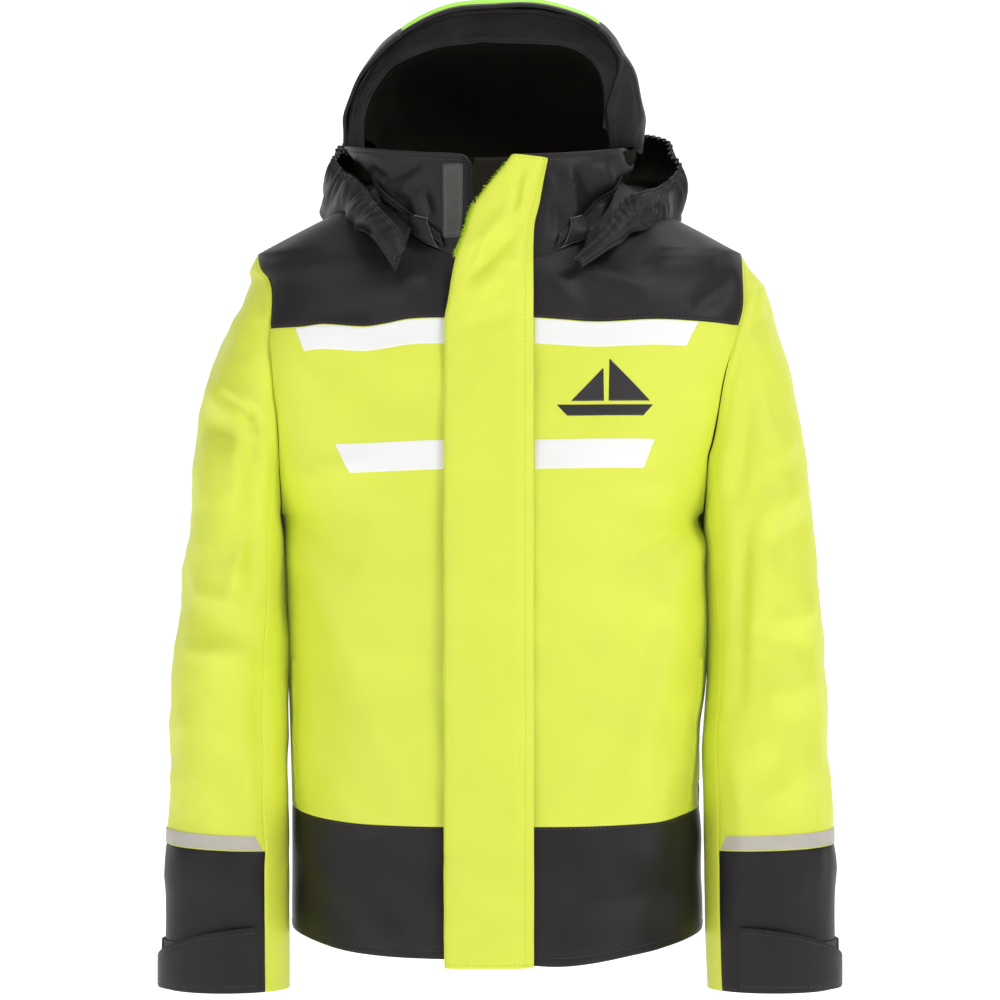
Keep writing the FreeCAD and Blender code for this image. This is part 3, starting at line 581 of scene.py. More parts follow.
def cloth(build, points, heart, material, thick=1.3, bumps=None, seams=ALL_EDGES, lining=None, stitch=(),
          thread=None, deep=SEAM, thread_in=None):
    """Adds a panel: its shape, its folds, its edges and its rows of stitches. Returns points and normals."""
    normal = normals_of(points, heart)
    if bumps is not None:
        points = points + normal * bumps[..., None]
    edges = [(edge, *deep) for edge in seams.split()]
    sunk = grooves(points, edges)
    for edge, distance in stitch:
        axis = 0 if edge[0] == "u" else 1
        far = lengths(points, axis)
        far = far if edge[1] == "0" else np.take(far, [-1], axis=axis) - far
        sunk = sunk + 0.35 * bell((far - distance) / 1.1)
    outer = points - normal * sunk[..., None]
    facing = normals_of(outer, heart)
    build.sheet(outer, outer - facing * thick, material, lining)
    for edge, distance in stitch:
        where = rows_at(outer, edge, distance)
        (thread_in or build).stitches(outer[where], facing[where], thread)
    return outer, facing


# ================================ Torso ================================
ZIP_GAP = 8.0
TORSO_HEART = (0.0, 0.0, -300.0)
HEM_RISE, HEM_DROP, PANEL_TOP = 13.0, 6.0, 3.6
LINING_FOOT, LINING_SIDE, LINING_DEPTH = -590.0, 0.985, 4.2


def grid(surface, us, vs):
    return surface(*crossed(us, vs))


def front_half(side, start):
    """One half of the front: u runs from an x that start gives (0) to the side seam or the armhole (1)."""
    def at(u, z):
        first = torso_turn(start(z), z)
        return torso(first + (side * quarter(z)[1] - first) * u, z, True)

    return at


def back_half(u, z):
    return torso(quarter(z)[1] * u, z, False)


def zip_side(side, gap=ZIP_GAP):
    """The front's edge beside the zip."""
    return lambda z: ZIP_X + side * gap + 0 * z


def neck_side(side):
    """The yoke's inner edge: beside the zip, and along the neckline above it."""
    def start(z):
        edge = ZIP_X + side * ZIP_GAP
        beyond = np.where(z <= NECK_FRONT, edge, side * neck_x(z))
        return np.maximum(edge, beyond) if side > 0 else np.minimum(edge, beyond)

    return start


FRONT_FOLDS = [
    (154, -300, 96, -478, 15, 2.2), (128, -330, 70, -500, 17, -1.5), (150, -395, 112, -520, 10, 1.5),
    (166, -272, 120, -340, 9, 1.6), (168, -262, 96, -296, 7, -1.2), (160, -240, 90, -232, 9, 1.0),
    (160, -440, 120, -596, 12, -1.4), (60, -560, 140, -548, 15, 1.2), (40, -420, 90, -590, 16, 1.0),
    (-160, -285, -104, -380, 13, 1.6), (-168, -262, -110, -300, 8, -1.2), (-150, -330, -128, -470, 14, -1.2),
    (-166, -420, -96, -506, 12, 1.8), (-150, -520, -80, -590, 13, 1.6), (-118, -380, -70, -480, 16, 1.0),
    (-52, -470, -60, -596, 9, 1.2), (-160, -230, -96, -216, 9, 1.0), (40, -70, 60, -108, 8, 1.2),
    (62, -66, 118, -84, 8, 1.3), (120, -64, 172, -60, 9, 1.8), (150, -100, 186, -72, 8, -1.4),
    (-60, -70, -100, -104, 8, 1.4), (-96, -60, -160, -68, 9, 1.3), (-70, -92, -150, -108, 7, -0.9),
    (-182, -120, -140, -160, 9, 1.0), (182, -112, 146, -170, 9, 1.2),
]
BACK_FOLDS = [
    (-150, -300, -60, -470, 18, 2.0), (150, -290, 50, -440, 18, 1.8), (-40, -150, -60, -420, 20, -1.5),
    (60, -200, 80, -560, 22, -1.6), (0, -320, 10, -590, 20, 1.6), (-110, -480, -100, -596, 12, 1.5),
    (120, -470, 104, -596, 13, 1.4), (-160, -250, -90, -200, 12, 1.4), (160, -250, 90, -190, 12, 1.4),
]


def inside_edges(points, flat_z, full_z):
    """Bumps fade out at the side edges and towards the neck, so that neighbouring panels meet."""
    beside = np.clip((edge_x(points[..., 2]) - np.abs(points[..., 0])) / 12, 0, 1)
    return beside * ramp(points[..., 2], flat_z, full_z)


def front_bumps(points):
    place = points[..., [0, 2]]
    waves = ripple(place, 90.0, 1.3, 3) + ripple(place, 34.0, 0.42, 4)
    return (2.6 * folds(place, FRONT_FOLDS) + waves) * inside_edges(points, 4, -18)


def back_bumps(points):
    place = points[..., [0, 2]]
    waves = ripple(place, 100.0, 1.4, 5) + ripple(place, 36.0, 0.4, 6)
    return (2.4 * folds(place, BACK_FOLDS) + waves) * inside_edges(points, 0, -26)


def torso_panel(name, surface, low, high, bumps, material, nodes, slot, start=0.0, **style):
    """A panel between two heights. The hem line drops beside the flap and rises towards the side seams."""
    heights = low + (high - low) * spread(abs(high - low), 4.0)
    shares = start + (1 - start) * spread(190.0 * (1 - start), 3.8)
    points = settle(grid(surface, shares, heights))
    low_down = ramp(points[..., 2], HEM_TOP_BACK, HEM_Z) ** 2
    drop = HEM_DROP * bell((points[..., 0] - 45) / 45) * (points[..., 1] < 0)
    aside = np.abs(points[..., 0] / HALF_WIDTHS[0][1])
    points[..., 2] += (HEM_RISE * aside**4 - drop) * low_down
    points[..., 2] += 9.0 * aside**6 * bell((points[..., 2] - HEM_TOP_FRONT) / 50)
    build = Build()
    cloth(build, points, TORSO_HEART, material, bumps=bumps(points), **style)
    return build.finish(name, "torso", nodes, slot)


def make_torso():
    hem = {"stitch": [("v0", 6.0), ("v1", 1.8)], "thread": THREAD_DARK}
    for side, name in ((1, "left"), (-1, "right")):
        surface = front_half(side, zip_side(side))
        torso_panel(f"front_{name}", surface, HEM_TOP_FRONT, YOKE_Z, front_bumps, YELLOW,
                    [f"front_panel_{name}"], "yellow")
        torso_panel(f"hem_{name}", surface, HEM_Z, HEM_TOP_FRONT, front_bumps, CHARCOAL,
                    [f"hem_panel_{name}"], "charcoal", **hem)
        surface = front_half(side, neck_side(side))
        torso_panel(f"shoulder_{name}", surface, YOKE_Z, PANEL_TOP, front_bumps, CHARCOAL,
                    [f"yoke_{name}"], "charcoal", stitch=[("v0", 1.8), ("u1", 2.0)], thread=THREAD_DARK)
    torso_panel("back", back_half, HEM_TOP_BACK, YOKE_Z, back_bumps, YELLOW,
                ["back_panel"], "yellow", start=-1.0)
    torso_panel("hem_back", back_half, HEM_Z, HEM_TOP_BACK, back_bumps, CHARCOAL,
                ["hem_panel_back"], "charcoal", start=-1.0, **hem)
    torso_panel("shoulder_back", back_half, YOKE_Z, PANEL_TOP, back_bumps, CHARCOAL,
                ["yoke_back"], "charcoal", start=-1.0, stitch=[("v0", 1.8)], thread=THREAD_DARK)


def inner_layer(name, surface, high, depth, start, node, shell):
    """A lining, hung inside the shell's bumps and loosely waved."""
    low = LINING_FOOT
    heights = low + (high - low) * spread(abs(high - low), 7.0)
    shares = start + (LINING_SIDE - start) * spread(190.0 * (LINING_SIDE - start), 7.0)
    points = settle(grid(surface, shares, heights))
    waves = ripple(points[..., [0, 2]], 60.0, 0.5, 9)
    build = Build()
    cloth(build, points, TORSO_HEART, INNER, bumps=shell(points) - depth(points[..., 2]) + waves, thick=0.7,
          stitch=[("v0", 3.0)], thread=THREAD_DARK)
    build.finish(name, "torso", [node], "mesh")


def make_linings():
    def front_depth(z):
        """The lining passes behind the pocket bags below their top."""
        return LINING_DEPTH + 13.0 * np.clip((-320 - z) / 40, 0, 1)

    def back_depth(z):
        return LINING_DEPTH + 0 * z

    for side, name in ((1, "left"), (-1, "right")):
        inner_layer(f"body_lining_{name}", front_half(side, zip_side(side, 38.0)), -64, front_depth, 0.0,
                    f"lining_front_{name}", front_bumps)
    inner_layer("body_lining_back", back_half, -60, back_depth, -LINING_SIDE, "lining_back", back_bumps)


# ================================ Stripes and emblem ================================
def front_patch(build, columns, heights, material, lift=0.42, thick=0.5):
    """A film bonded to the front: columns gives the two ends of each row, heights the rows."""
    shares = np.linspace(0, 1, 46)
    ends = np.array([columns(z) for z in heights])
    x = ends[:, 0] + (ends[:, 1] - ends[:, 0]) * shares[:, None]
    z = np.asarray(heights) + 0 * x
    points = settle(front_at(x, z))
    aside, above = settle(front_at(x + 0.5, z)), settle(front_at(x, z + 0.5))
    normal = unit(np.cross(aside - points, above - points))
    normal = np.where(normal[..., 1:2] > 0, -normal, normal)
    base = points + normal * front_bumps(points)[..., None]
    sink = grooves(base, [(edge, 0.25, 0.5) for edge in ("u0", "u1", "v0", "v1")])
    outer = base + normal * (lift - sink)[..., None]
    build.sheet(outer, outer - normal * thick, material)


# Each stripe's upper and lower edge, and the x of its outer end at both.
STRIPES = {
    1: ((-111.8, -130.5, 156.5, 148.5), (-204, -226.5, 123, 113.5)),
    -1: ((-111.8, -130.5, 166.5, 158), (-204, -226.5, 130.5, 117)),
}
STRIPE_START = {1: 27.0, -1: -34.0}
# The boat's sails: both foot corners and the peak. The hull widens upwards from its keel.
SAIL_FOOT = -173
SAILS = ((84, 117, 84.5, -140), (55, 80, 79.5, -147))
HULL_X, HULL_HALF, KEEL_Z, DECK_Z = 82, 30, -185, -176


def film_rows(low, high):
    return low + (high - low) * spread(high - low, 2.2, (0.4, 1.0, 2.0))


def make_films():
    build = Build()
    for side in (1, -1):
        for high, low, long_x, short_x in STRIPES[side]:
            def columns(z, side=side, low=low, high=high, long_x=long_x, short_x=short_x):
                return STRIPE_START[side], side * (short_x + (long_x - short_x) * (z - low) / (high - low))

            front_patch(build, columns, film_rows(low, high), FILM)
    build.finish("stripes", "torso", ["chest_stripes"], "film")
    build = Build()
    for left, right, peak_x, peak_z in SAILS:
        def columns(z, left=left, right=right, peak_x=peak_x, peak_z=peak_z):
            share = (z - SAIL_FOOT) / (peak_z - SAIL_FOOT)
            return left + (peak_x - left) * share, right + (peak_x - right) * share + 0.4

        front_patch(build, columns, film_rows(SAIL_FOOT, peak_z), EMBLEM, lift=0.45)

    def hull(z):
        half = HULL_HALF + (z - KEEL_Z) * 0.9
        return HULL_X - half, HULL_X + half

    front_patch(build, hull, np.linspace(KEEL_Z, DECK_Z, 8), EMBLEM, lift=0.45)
    build.finish("emblem", "torso", ["chest_emblem"], "charcoal")


EMBLEM = new_material("emblem_film", (0.032, 0.030, 0.031), 0.3)[0]
make_torso()
make_linings()
make_films()


# ================================ Sleeves ================================
SLEEVE_FOLDS = {
    1: [
        (236, -84, 196, -118, 7, -2.0), (226, -70, 190, -92, 7, 2.4), (200, -150, 182, -250, 9, -3.0),
        (250, -180, 204, -226, 10, 1.8), (252, -228, 200, -262, 10, 2.2), (248, -262, 206, -290, 9, -1.6),
        (212, -240, 196, -370, 11, 2.0), (190, -262, 184, -420, 7, -2.8), (250, -330, 204, -352, 9, 2.0),
        (244, -366, 196, -346, 8, -1.8), (256, -392, 206, -398, 11, 1.8), (236, -410, 206, -470, 12, -1.4),
        (252, -452, 196, -488, 12, 1.3), (182, -440, 190, -520, 8, 1.5),
    ],
    -1: [
        (222, -150, 176, -184, 6, 1.9), (220, -164, 178, -196, 5, -1.9), (222, -180, 203, -296, 11, -2.4),
        (192, -250, 186, -196, 7, -2.0), (190, -258, 214, -330, 6, 1.6),
        (232, -84, 200, -130, 8, 1.8), (214, -70, 184, -100, 7, -1.4), (246, -150, 196, -182, 11, 2.0),
        (244, -180, 186, -214, 9, -1.5), (196, -170, 190, -330, 9, -2.6), (214, -190, 206, -320, 11, 1.6),
        (248, -318, 196, -330, 9, 1.6), (240, -338, 186, -360, 8, -1.8), (250, -364, 192, -372, 10, 2.0),
        (186, -380, 182, -520, 8, -1.6), (250, -410, 214, -500, 13, 1.4), (220, -440, 196, -500, 10, -1.0),
    ],
}
SLEEVE_REACH, TAB_TIP = 38.0, -27.0
SLEEVE_BACK_FOLDS = [(250, -200, 190, -250, 14, 1.8), (250, -330, 190, -350, 12, 2.0),
                     (250, -380, 190, -366, 12, 1.8), (226, -420, 210, -540, 14, -1.4)]


def sleeve_bumps(side, points, angle):
    ahead = np.clip(np.sin(np.radians(angle)) * 1.8 - 0.25, 0, 1)
    back = np.clip(-np.sin(np.radians(angle)) * 1.8 - 0.25, 0, 1)
    place = np.stack([np.abs(points[..., 0]), points[..., 2]], -1)
    around = np.stack([points[..., 1] + side * 40 * np.cos(np.radians(angle)), points[..., 2]], -1)
    waves = ripple(around, 80.0, 1.6, 20 + side) + ripple(around, 32.0, 0.5, 30 + side)
    return 2.3 * (folds(place, SLEEVE_FOLDS[side]) * ahead + folds(place, SLEEVE_BACK_FOLDS) * back) + waves


def sleeve_heart(side, stations, angles):
    """The middle of each ring, once for every angle."""
    return np.stack([(sleeve(side, 0, stations) + sleeve(side, 180, stations)) / 2] * len(angles))


def sleeve_panel(build, side, first, last, low, high, material, depth=0.0, slant=0.0, **style):
    """Cloth between two angles and two stations, at a depth below the shell. Slant turns its lower corner."""
    stations = low + (high - low) * spread((high - low) * 62.0, 4.0)
    angles = first + (last - first) * spread(abs(last - first) * 1.05, 3.6)
    angle, station = crossed(angles, stations)
    angle = angle - slant * (angle - first) / (last - first) * (high - station) / (high - low)
    points = settle(sleeve(side, angle, station), SLEEVE_REACH)
    inward = np.clip(-np.cos(np.radians(angle)), 0, 1)
    hemmed = ramp(station, 0, 0.5)
    calm = 1 - 0.8 * ramp(station, 8.0, 8.35)
    bumps = (sleeve_bumps(side, points, angle) * calm - 0.8) * (1 - 0.6 * inward) * hemmed - depth
    return cloth(build, points, sleeve_heart(side, stations, angles), material, bumps=bumps, **style)


def make_sleeve(side, name):
    shoulder = ("torso", f"sleeve_{name}", (side * 0.175, 0.0, -0.262), (side * 0.2005, 0.0, -0.2724))
    elbow = (f"sleeve_{name}", f"forearm_{name}", (side * 0.218, 0.0, -0.378), (side * 0.218, 0.0, -0.466))
    seam = FRONT_SEAM[side]
    outer_span, under_span = (-SEAM_ANGLE, seam), (seam, 360 - SEAM_ANGLE)

    def made(piece, material, body, node, slot, span, low, high, **style):
        build = Build()
        outer, facing = sleeve_panel(build, side, *span, low, high, material, **style)
        if low == 0:
            build.tube(outer[:, 0] - facing[:, 0] * 0.5, 0.8, material)
        placed = {"blend": body} if isinstance(body, tuple) else {"body": body}
        build.finish(f"{piece}_{name}", replaces=[f"{node}_{name}"], slot=slot, **placed)

    made("arm", YELLOW, shoulder, "sleeve_upper", "yellow", outer_span, 0.0, ELBOW_ROW,
         seams="u0 u1 v0", stitch=[("v0", 2.2)], thread=THREAD_YELLOW)
    made("arm_under", YELLOW, shoulder, "sleeve_underarm", "yellow", under_span, 0.0, ELBOW_ROW,
         seams="u0 u1 v0")
    made("lower_arm", YELLOW, elbow, "forearm", "yellow", outer_span, ELBOW_ROW, CUFF_TOP, seams="u0 u1 v1")
    made("lower_arm_under", YELLOW, elbow, "forearm_under", "yellow", under_span, ELBOW_ROW, CUFF_END,
         seams="u0 u1")
    made("cuff", CHARCOAL, f"forearm_{name}", "cuff_panel", "charcoal", outer_span, CUFF_TOP, CUFF_END)
    made("reflective", TAPE, f"forearm_{name}", "reflective_band", "tape", (-118, seam - 4),
         CUFF_TOP - 0.135, CUFF_TOP - 0.01, depth=-0.7, thick=0.6, seams="", slant=7.0)
    made("arm_lining", INNER, shoulder, "sleeve_lining", "mesh", (1, 359), 0.05, 5.95, depth=4.4, thick=0.7)
    make_tab(side, name)


def make_tab(side, name):
    """The cuff tab, its hook patch, and the loop tape it closes on."""
    stations = TAB_TOP - 0.02 + (CUFF_END - TAB_TOP) * spread(34.0, 3.0)
    angles = TAB_TIP + (SEAM_ANGLE - 7 - TAB_TIP) * spread(118.0, 3.2)
    angle, station = crossed(angles, stations)
    share = (station - TAB_TOP) / (CUFF_END - TAB_TOP)
    lean = (1 - np.cos(np.radians(angle - 119))) / 2 * 0.38 - 0.05
    points = settle(sleeve(side, angle, station + lean * (1 - share)), SLEEVE_REACH)
    stand = 4.6 + 1.6 * bell((angle + 20) / 22) + 0.5 * np.sin(np.radians(angle * 5 + 40))
    build = Build()
    cloth(build, points, sleeve_heart(side, stations, angles), CHARCOAL, thick=2.4, bumps=stand,
          stitch=[("v0", 2.6), ("v1", 2.6), ("u0", 2.6)], thread=THREAD_DARK, deep=(0.5, 1.2))
    build.finish(f"tab_{name}", f"cuff_tab_{name}", [f"cuff_tab_{name}"], "charcoal")
    for piece, first, last, depth, thick, body, node in (
        ("tab_hook", -20, 12, -2.9, 1.1, "cuff_tab", "cuff_tab_hook"),
        ("tab_loop", -60, 60, -1.6, 1.3, "forearm", "cuff_loop_tape"),
    ):
        build = Build()
        sleeve_panel(build, side, first, last, TAB_TOP + 0.08, CUFF_END - 0.1, LOOP_DARK, depth=depth,
                     thick=thick, seams="")
        build.finish(f"{piece}_{name}", f"{body}_{name}", [f"{node}_{name}"], "loop")


for side, name in ((1, "left"), (-1, "right")):
    make_sleeve(side, name)


# ================================ Zip and storm flap ================================
def make_zip():
    """The teeth, stops, slider and puller are the CAD's own, with materials. Only the tapes are new."""
    for node in ("zip_teeth_left", "zip_teeth_right", "zip_stops", "zip_slider", "zip_puller"):
        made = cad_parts[node]
        made.data.materials.clear()
        made.data.materials.append(TEETH if node.startswith("zip_teeth") else ENAMEL)
    build = Build()
    heights = np.linspace(-591, 14, 160)
    for side in (1, -1):
        x, z = crossed(ZIP_X + side * np.linspace(3.8, 14, 8), heights)
        outer = np.stack([x, front_y(z) + 3.7, z], -1)
        build.sheet(outer, outer + np.array([0, 0.7, 0]), WEBBING)
    build.finish("zip_tape_pair", "torso", ["zip_tapes"], "webbing")


def make_guard():
    """The inner placket. Its top is folded over the end of the zip as a chin guard."""
    build = Build()
    x, z = crossed(np.linspace(-29, 25, 30), np.linspace(-596, 12, 200))
    outer = np.stack([x, front_y(z) + 7.8 + 0.3 * np.sin(z / 23 + x / 9), z], -1)
    cloth(build, outer, TORSO_HEART, PLACKET, thick=1.2, seams="")
    a, t = crossed(np.linspace(-20, 12, 24), np.linspace(0, 1, 50))
    over = np.pi * ramp(t, 0.1, 0.4)
    y = 8.0 - 7.2 * (1 - np.cos(over))
    z = 12 + 6.2 * np.sin(over) - 34 * ramp(t, 0.4, 1.0) - 8 * ramp(t, 0.1, 0.0) + 1.2 * np.sin(a / 7.0) * t
    fold = np.stack([a, front_y(z) + y + 0.5 * np.sin(z / 6 + a / 5), z], -1)
    cloth(build, fold, (0, -84, 2), PLACKET, thick=1.0, seams="")
    build.finish("inner_placket", "torso", ["zip_guard"], "charcoal")


FLAP_FOOT, FLAP_TOP, FLAP_WIDTH, FLAP_FREE_X = -606.0, 17.0, 69.4, -43.4
FLAP_LEFT = [(FLAP_FOOT, -43.0), (-580, FLAP_FREE_X), (-110, FLAP_FREE_X), (-93, -40.6), (-76, -38), (-57, -34),
             (-37, -26.8), (-19, -21), (-6, -11.5), (4, -3), (13, 5), (19.6, 10)]
FLAP_RIGHT = [(FLAP_FOOT, 26.2), (-80, 26.0), (-50, 26.0), (-33, 27), (-19, 30.5), (0, 34), (FLAP_TOP, 37.6)]
FLAP_DEPTH = [(-43.5, -5.6), (-41, -7.4), (-34, -9.3), (-20, -9.9), (0, -9.9), (12, -9.6), (18, -7.6),
              (26.0, -4.2), (38, -4.2)]
FLAP_FOLDS = [
    (-26, -78, 13, -41, 4, -2.3), (-22, -57, 8, -22, 6, 1.9), (15.5, 6, 10.5, -27, 3.5, -1.5),
    (10.5, -27, 18, -40, 3.5, -1.3), (-22, -90, 22, -54, 7, 1.5), (-3, -71, 16, -68, 4, -0.8),
    (20, 8, 17, -24, 3, 0.8), (-26, -70, -14, -44, 3, -0.8), (-34, -118, 24, -96, 8, -1.0),
    (-20, -140, 20, -170, 12, 0.7), (-40, -300, 20, -330, 18, 0.6), (-30, -420, 24, -400, 18, 0.6),
    (-40, -520, 20, -560, 14, 0.8),
]
# How far above the hem each patch starts and ends. The lowest has no partner on the body.
FLAP_PATCHES = ((30, 90), (160, 220), (290, 350), (420, 480), (560, 604))


def flap_surface(share, z):
    """Share runs from the free edge (0) to the sewn edge (1). The free edge stands out a little at the top."""
    left, right = curve(FLAP_LEFT, z), curve(FLAP_RIGHT, z)
    x = left + (right - left) * share
    wide = np.clip((x - left) / np.maximum(right - left, 1) * FLAP_WIDTH + FLAP_FREE_X, -43.5, 26)
    y = front_y(z) + curve(FLAP_DEPTH, wide) - 1.6 * ramp(z, -70, 20) * (1 - share) ** 2
    return np.stack([x, y, z + 3.2 * (1 - share) * ramp(z, 8, 17)], -1)


def make_flap():
    build = Build()
    shares = spread(FLAP_WIDTH, 1.7, (0.5, 1.1, 1.9, 3.0))
    heights = FLAP_FOOT + (FLAP_TOP - FLAP_FOOT) * spread(FLAP_TOP - FLAP_FOOT, 3.2)
    points = grid(flap_surface, shares, heights)
    place = points[..., [0, 2]]
    bumps = 1.8 * folds(place, FLAP_FOLDS) + ripple(place, 70.0, 0.28, 12) + ripple(place, 22.0, 0.10, 13)
    seams = Build()
    outer, normal = cloth(build, points, TORSO_HEART, YELLOW, thick=2.2, bumps=bumps, deep=(0.7, 1.1),
                          stitch=[("u0", 1.6), ("u1", 7.2), ("v0", 3.0), ("v1", 1.6)], thread=THREAD_YELLOW,
                          thread_in=seams)
    bend = ("torso", "storm_flap", (0.0275, -0.12, -0.3), (0.0135, -0.12, -0.3))
    made = build.finish("flap", replaces=["storm_flap"], slot="yellow", blend=bend)
    sewn = seams.finish("flap_stitching", slot="yellow", blend=bend)
    make_patches()
    make_fuzz(outer, normal)


def make_patches():
    """Hook patches on the flap's inside, and loop patches across from them on the body."""
    build = Build()
    for low, high in FLAP_PATCHES:
        x, z = crossed(np.linspace(-40, -27, 10), HEM_Z + np.linspace(low, high, 30))
        y = front_y(z) - 6.2 + 0.1 * (-27 - x)
        near = np.stack([x - FLAP_FREE_X + curve(FLAP_LEFT, z), y, z], -1)
        build.sheet(near, near + np.array([0, 1.3, 0]), LOOP_LIME)
    build.finish("flap_hooks", "storm_flap", ["flap_hook_patches"], "loop_lime")
    build = Build()
    for low, high in FLAP_PATCHES[:-1]:
        points = front_at(*crossed(np.linspace(-41, -27, 10), HEM_Z + np.linspace(low, high, 30)))
        points[..., 1] -= 1.1 + front_bumps(points)
        build.sheet(points, points + np.array([0, 1.6, 0]), LOOP_LIME)
    build.finish("flap_loops", "torso", ["flap_loop_patches"], "loop_lime")


def make_fuzz(outer, normal):
    """Loop pile that stands out past the flap's curled upper edge."""
    build = Build()
    edge = outer[0]
    chosen = np.flatnonzero((edge[:, 2] > -62) & (edge[:, 2] < 15))
    count = 3800
    pick = rng.integers(chosen[0], chosen[-1], count)
    share = rng.random((count, 1))
    root = edge[pick] * (1 - share) + edge[pick + 1] * share
    inside = unit(outer[6, pick] - outer[0, pick])
    out = -inside + rng.normal(0, 0.45, (count, 3))
    deep, along = rng.uniform(0.2, 2.2, (count, 1)), rng.uniform(0, 2.0, (count, 1))
    root = root - normal[0, pick] * deep + inside * along
    length = rng.uniform(1.8, 4.6, (count, 1))
    tip = root + unit(out) * length
    side = unit(np.cross(tip - root, rng.normal(0, 1, (count, 3)))) * 0.14
    bend = (root + tip) / 2 + rng.normal(0, 0.35, (count, 3))
    narrow = side * 0.4
    points = np.stack([root - side, root + side, bend + side, bend - side, tip + narrow, tip - narrow], 1)
    build.repeat(points, [[0, 1, 2, 3], [3, 2, 4, 5]], LOOP_LIME)
    build.finish("flap_pile", "storm_flap", [], "loop_lime")


TEETH = new_material("teeth", (0.025, 0.024, 0.022), 0.4)[0]
make_zip()
make_guard()
make_flap()


# ================================ Collar ================================
COLLAR_HEART, COLLAR_HEIGHT = (0, 0, -10), 88.0
COLLAR_WIDE_LEFT, COLLAR_WIDE_RIGHT, COLLAR_RADIUS = 117.0, 124.0, 92.0
COLLAR_EDGE = {1: 4.0, -1: -16.6}


def half_width(angle, left, right):
    """A width that differs between the wearer's left (positive angles) and right."""
    share = (1 + np.tanh(np.sin(np.radians(angle)) * 3)) / 2
    return right + (left - right) * share


def collar_shape(angle, height):
    """The collar flares from the neckline (height 0) to its upper edge (1), which folds in on the left."""
    angle, height = np.broadcast_arrays(np.asarray(angle, float), np.asarray(height, float))
    a = np.radians(angle)
    low = neck(angle)
    full = (1 - np.abs(np.sin(a)) ** ROUND) ** (1 / ROUND)
    ahead = (1 + np.cos(a)) / 2
    x = half_width(angle, COLLAR_WIDE_LEFT, COLLAR_WIDE_RIGHT) * np.sin(a)
    y = HOOD_Y - np.sign(np.cos(a)) * COLLAR_RADIUS * full
    top = np.stack([x, y, 38.0 - 18.5 * ahead**2], -1)
    outwards = height**0.75
    made = low + (top - low) * np.stack([outwards, outwards, height], -1)
    made[..., 0] -= 17.0 * bell((angle - 82) / 20.0) * height**4 * (angle < 96)
    return made


COLLAR_FOLDS = [
    (-116, -4, -78, -40, 7, 2.4), (-104, 12, -90, 2, 4, -1.5), (-90, 2, -60, 15, 4, -1.4),
    (-80, -10, -50, 14, 4, 1.4), (-72, -8, -48, 16, 3.5, -1.4), (-60, -2, -53, -30, 3.5, -1.8),
    (-68, -6, -62, -34, 5, 1.3), (-56, -34, -44, -52, 4, -1.2), (-90, -30, -60, -56, 5, 1.4),
    (-116, 22, -100, 8, 6, -1.0), (-36, -30, -28, -52, 4, 1.0), (-100, -8, -76, -24, 6, 0.8),
    (52, 14, 60, -30, 5, 2.4), (62, 12, 78, -22, 5, -1.8), (80, 16, 92, -18, 6, 2.2),
    (108, 10, 60, -34, 6, -2.2), (98, -20, 56, -46, 5, 2.0), (112, 26, 100, 2, 7, 1.4),
    (46, -10, 44, -44, 5, -1.2), (38, 4, 46, -20, 4, 0.9),
]


def collar_bumps(points):
    place = points[..., [0, 2]]
    ahead = np.clip(-points[..., 1] / 40 + 0.6, 0, 1)
    fade = np.clip((36 - points[..., 2]) / 14, 0.25, 1)
    return (2.3 * folds(place, COLLAR_FOLDS) * ahead + ripple(place, 46.0, 0.6, 41)) * fade


def make_collar():
    length = 270.0
    for side, name in ((1, "left"), (-1, "right")):
        share, height = crossed(spread(length, 3.0), spread(COLLAR_HEIGHT, 2.4))
        wide = half_width(side * 12.0, COLLAR_WIDE_LEFT, COLLAR_WIDE_RIGHT)
        wide = NECK_WIDTH + (wide - NECK_WIDTH) * height**0.75
        first = np.degrees(np.arcsin(COLLAR_EDGE[side] / wide))
        if side < 0:
            first = first - 2.45 * ramp(height, 0.9, 1.0) ** 2
        points = collar_shape(first + (side * 180.0 - first) * share, height)
        points[..., 2] -= 5.0 * ramp(height, 0.86, 1.0) ** 2 * bell(share * length / 5.0)
        build = Build()
        front_rows = [("u0", 2.0), ("u0", 5.4)] if side < 0 else []
        stitch = [("v1", 3.0), *front_rows, ("v0", 2.0)]
        outer, normal = cloth(build, points, COLLAR_HEART, CHARCOAL, thick=2.2, bumps=collar_bumps(points),
                              seams="v0", stitch=stitch, thread=THREAD_DARK)
        build.tube(outer[:, -1] - normal[:, -1] * 1.1, 1.35, CHARCOAL)
        build.finish(f"collar_half_{name}", "torso", [f"collar_{name}"], "charcoal")
    points = grid(collar_shape, np.linspace(-335, -25, 150), np.linspace(0.03, 0.97, 34))
    below_the_neckline = points[:, :1] - np.array([0.0, 0.0, 11.0])
    points = np.concatenate([below_the_neckline, points], axis=1)
    build = Build()
    cloth(build, points, COLLAR_HEART, FLEECE, thick=0.9, bumps=collar_bumps(points) - 4.6, seams="")
    build.finish("collar_inside", "torso", ["collar_lining"], "fleece")


def band_on_collar(build, angles, heights, material, lift, thick, bumps=None, rise=0.0, **style):
    """A strip on the collar between two angles and two heights. It may rise towards the second angle."""
    fine = (0.5, 1.2, 2.0)
    turned, raised = angles[1] - angles[0], heights[1] - heights[0]
    us = angles[0] + turned * spread(abs(turned) * 1.9, 2.0, fine)
    hs = heights[0] + raised * spread(abs(raised) * COLLAR_HEIGHT, 2.0, fine)
    points = grid(lambda a, h: collar_shape(a, h + rise * (a - us[0]) / (us[-1] - us[0])), us, hs)
    up = collar_bumps(points) + lift
    if bumps is not None:
        up = up + bumps(*crossed(us, hs))
    return cloth(build, points, COLLAR_HEART, material, thick=thick, bumps=up, deep=(0.4, 0.8), **style)


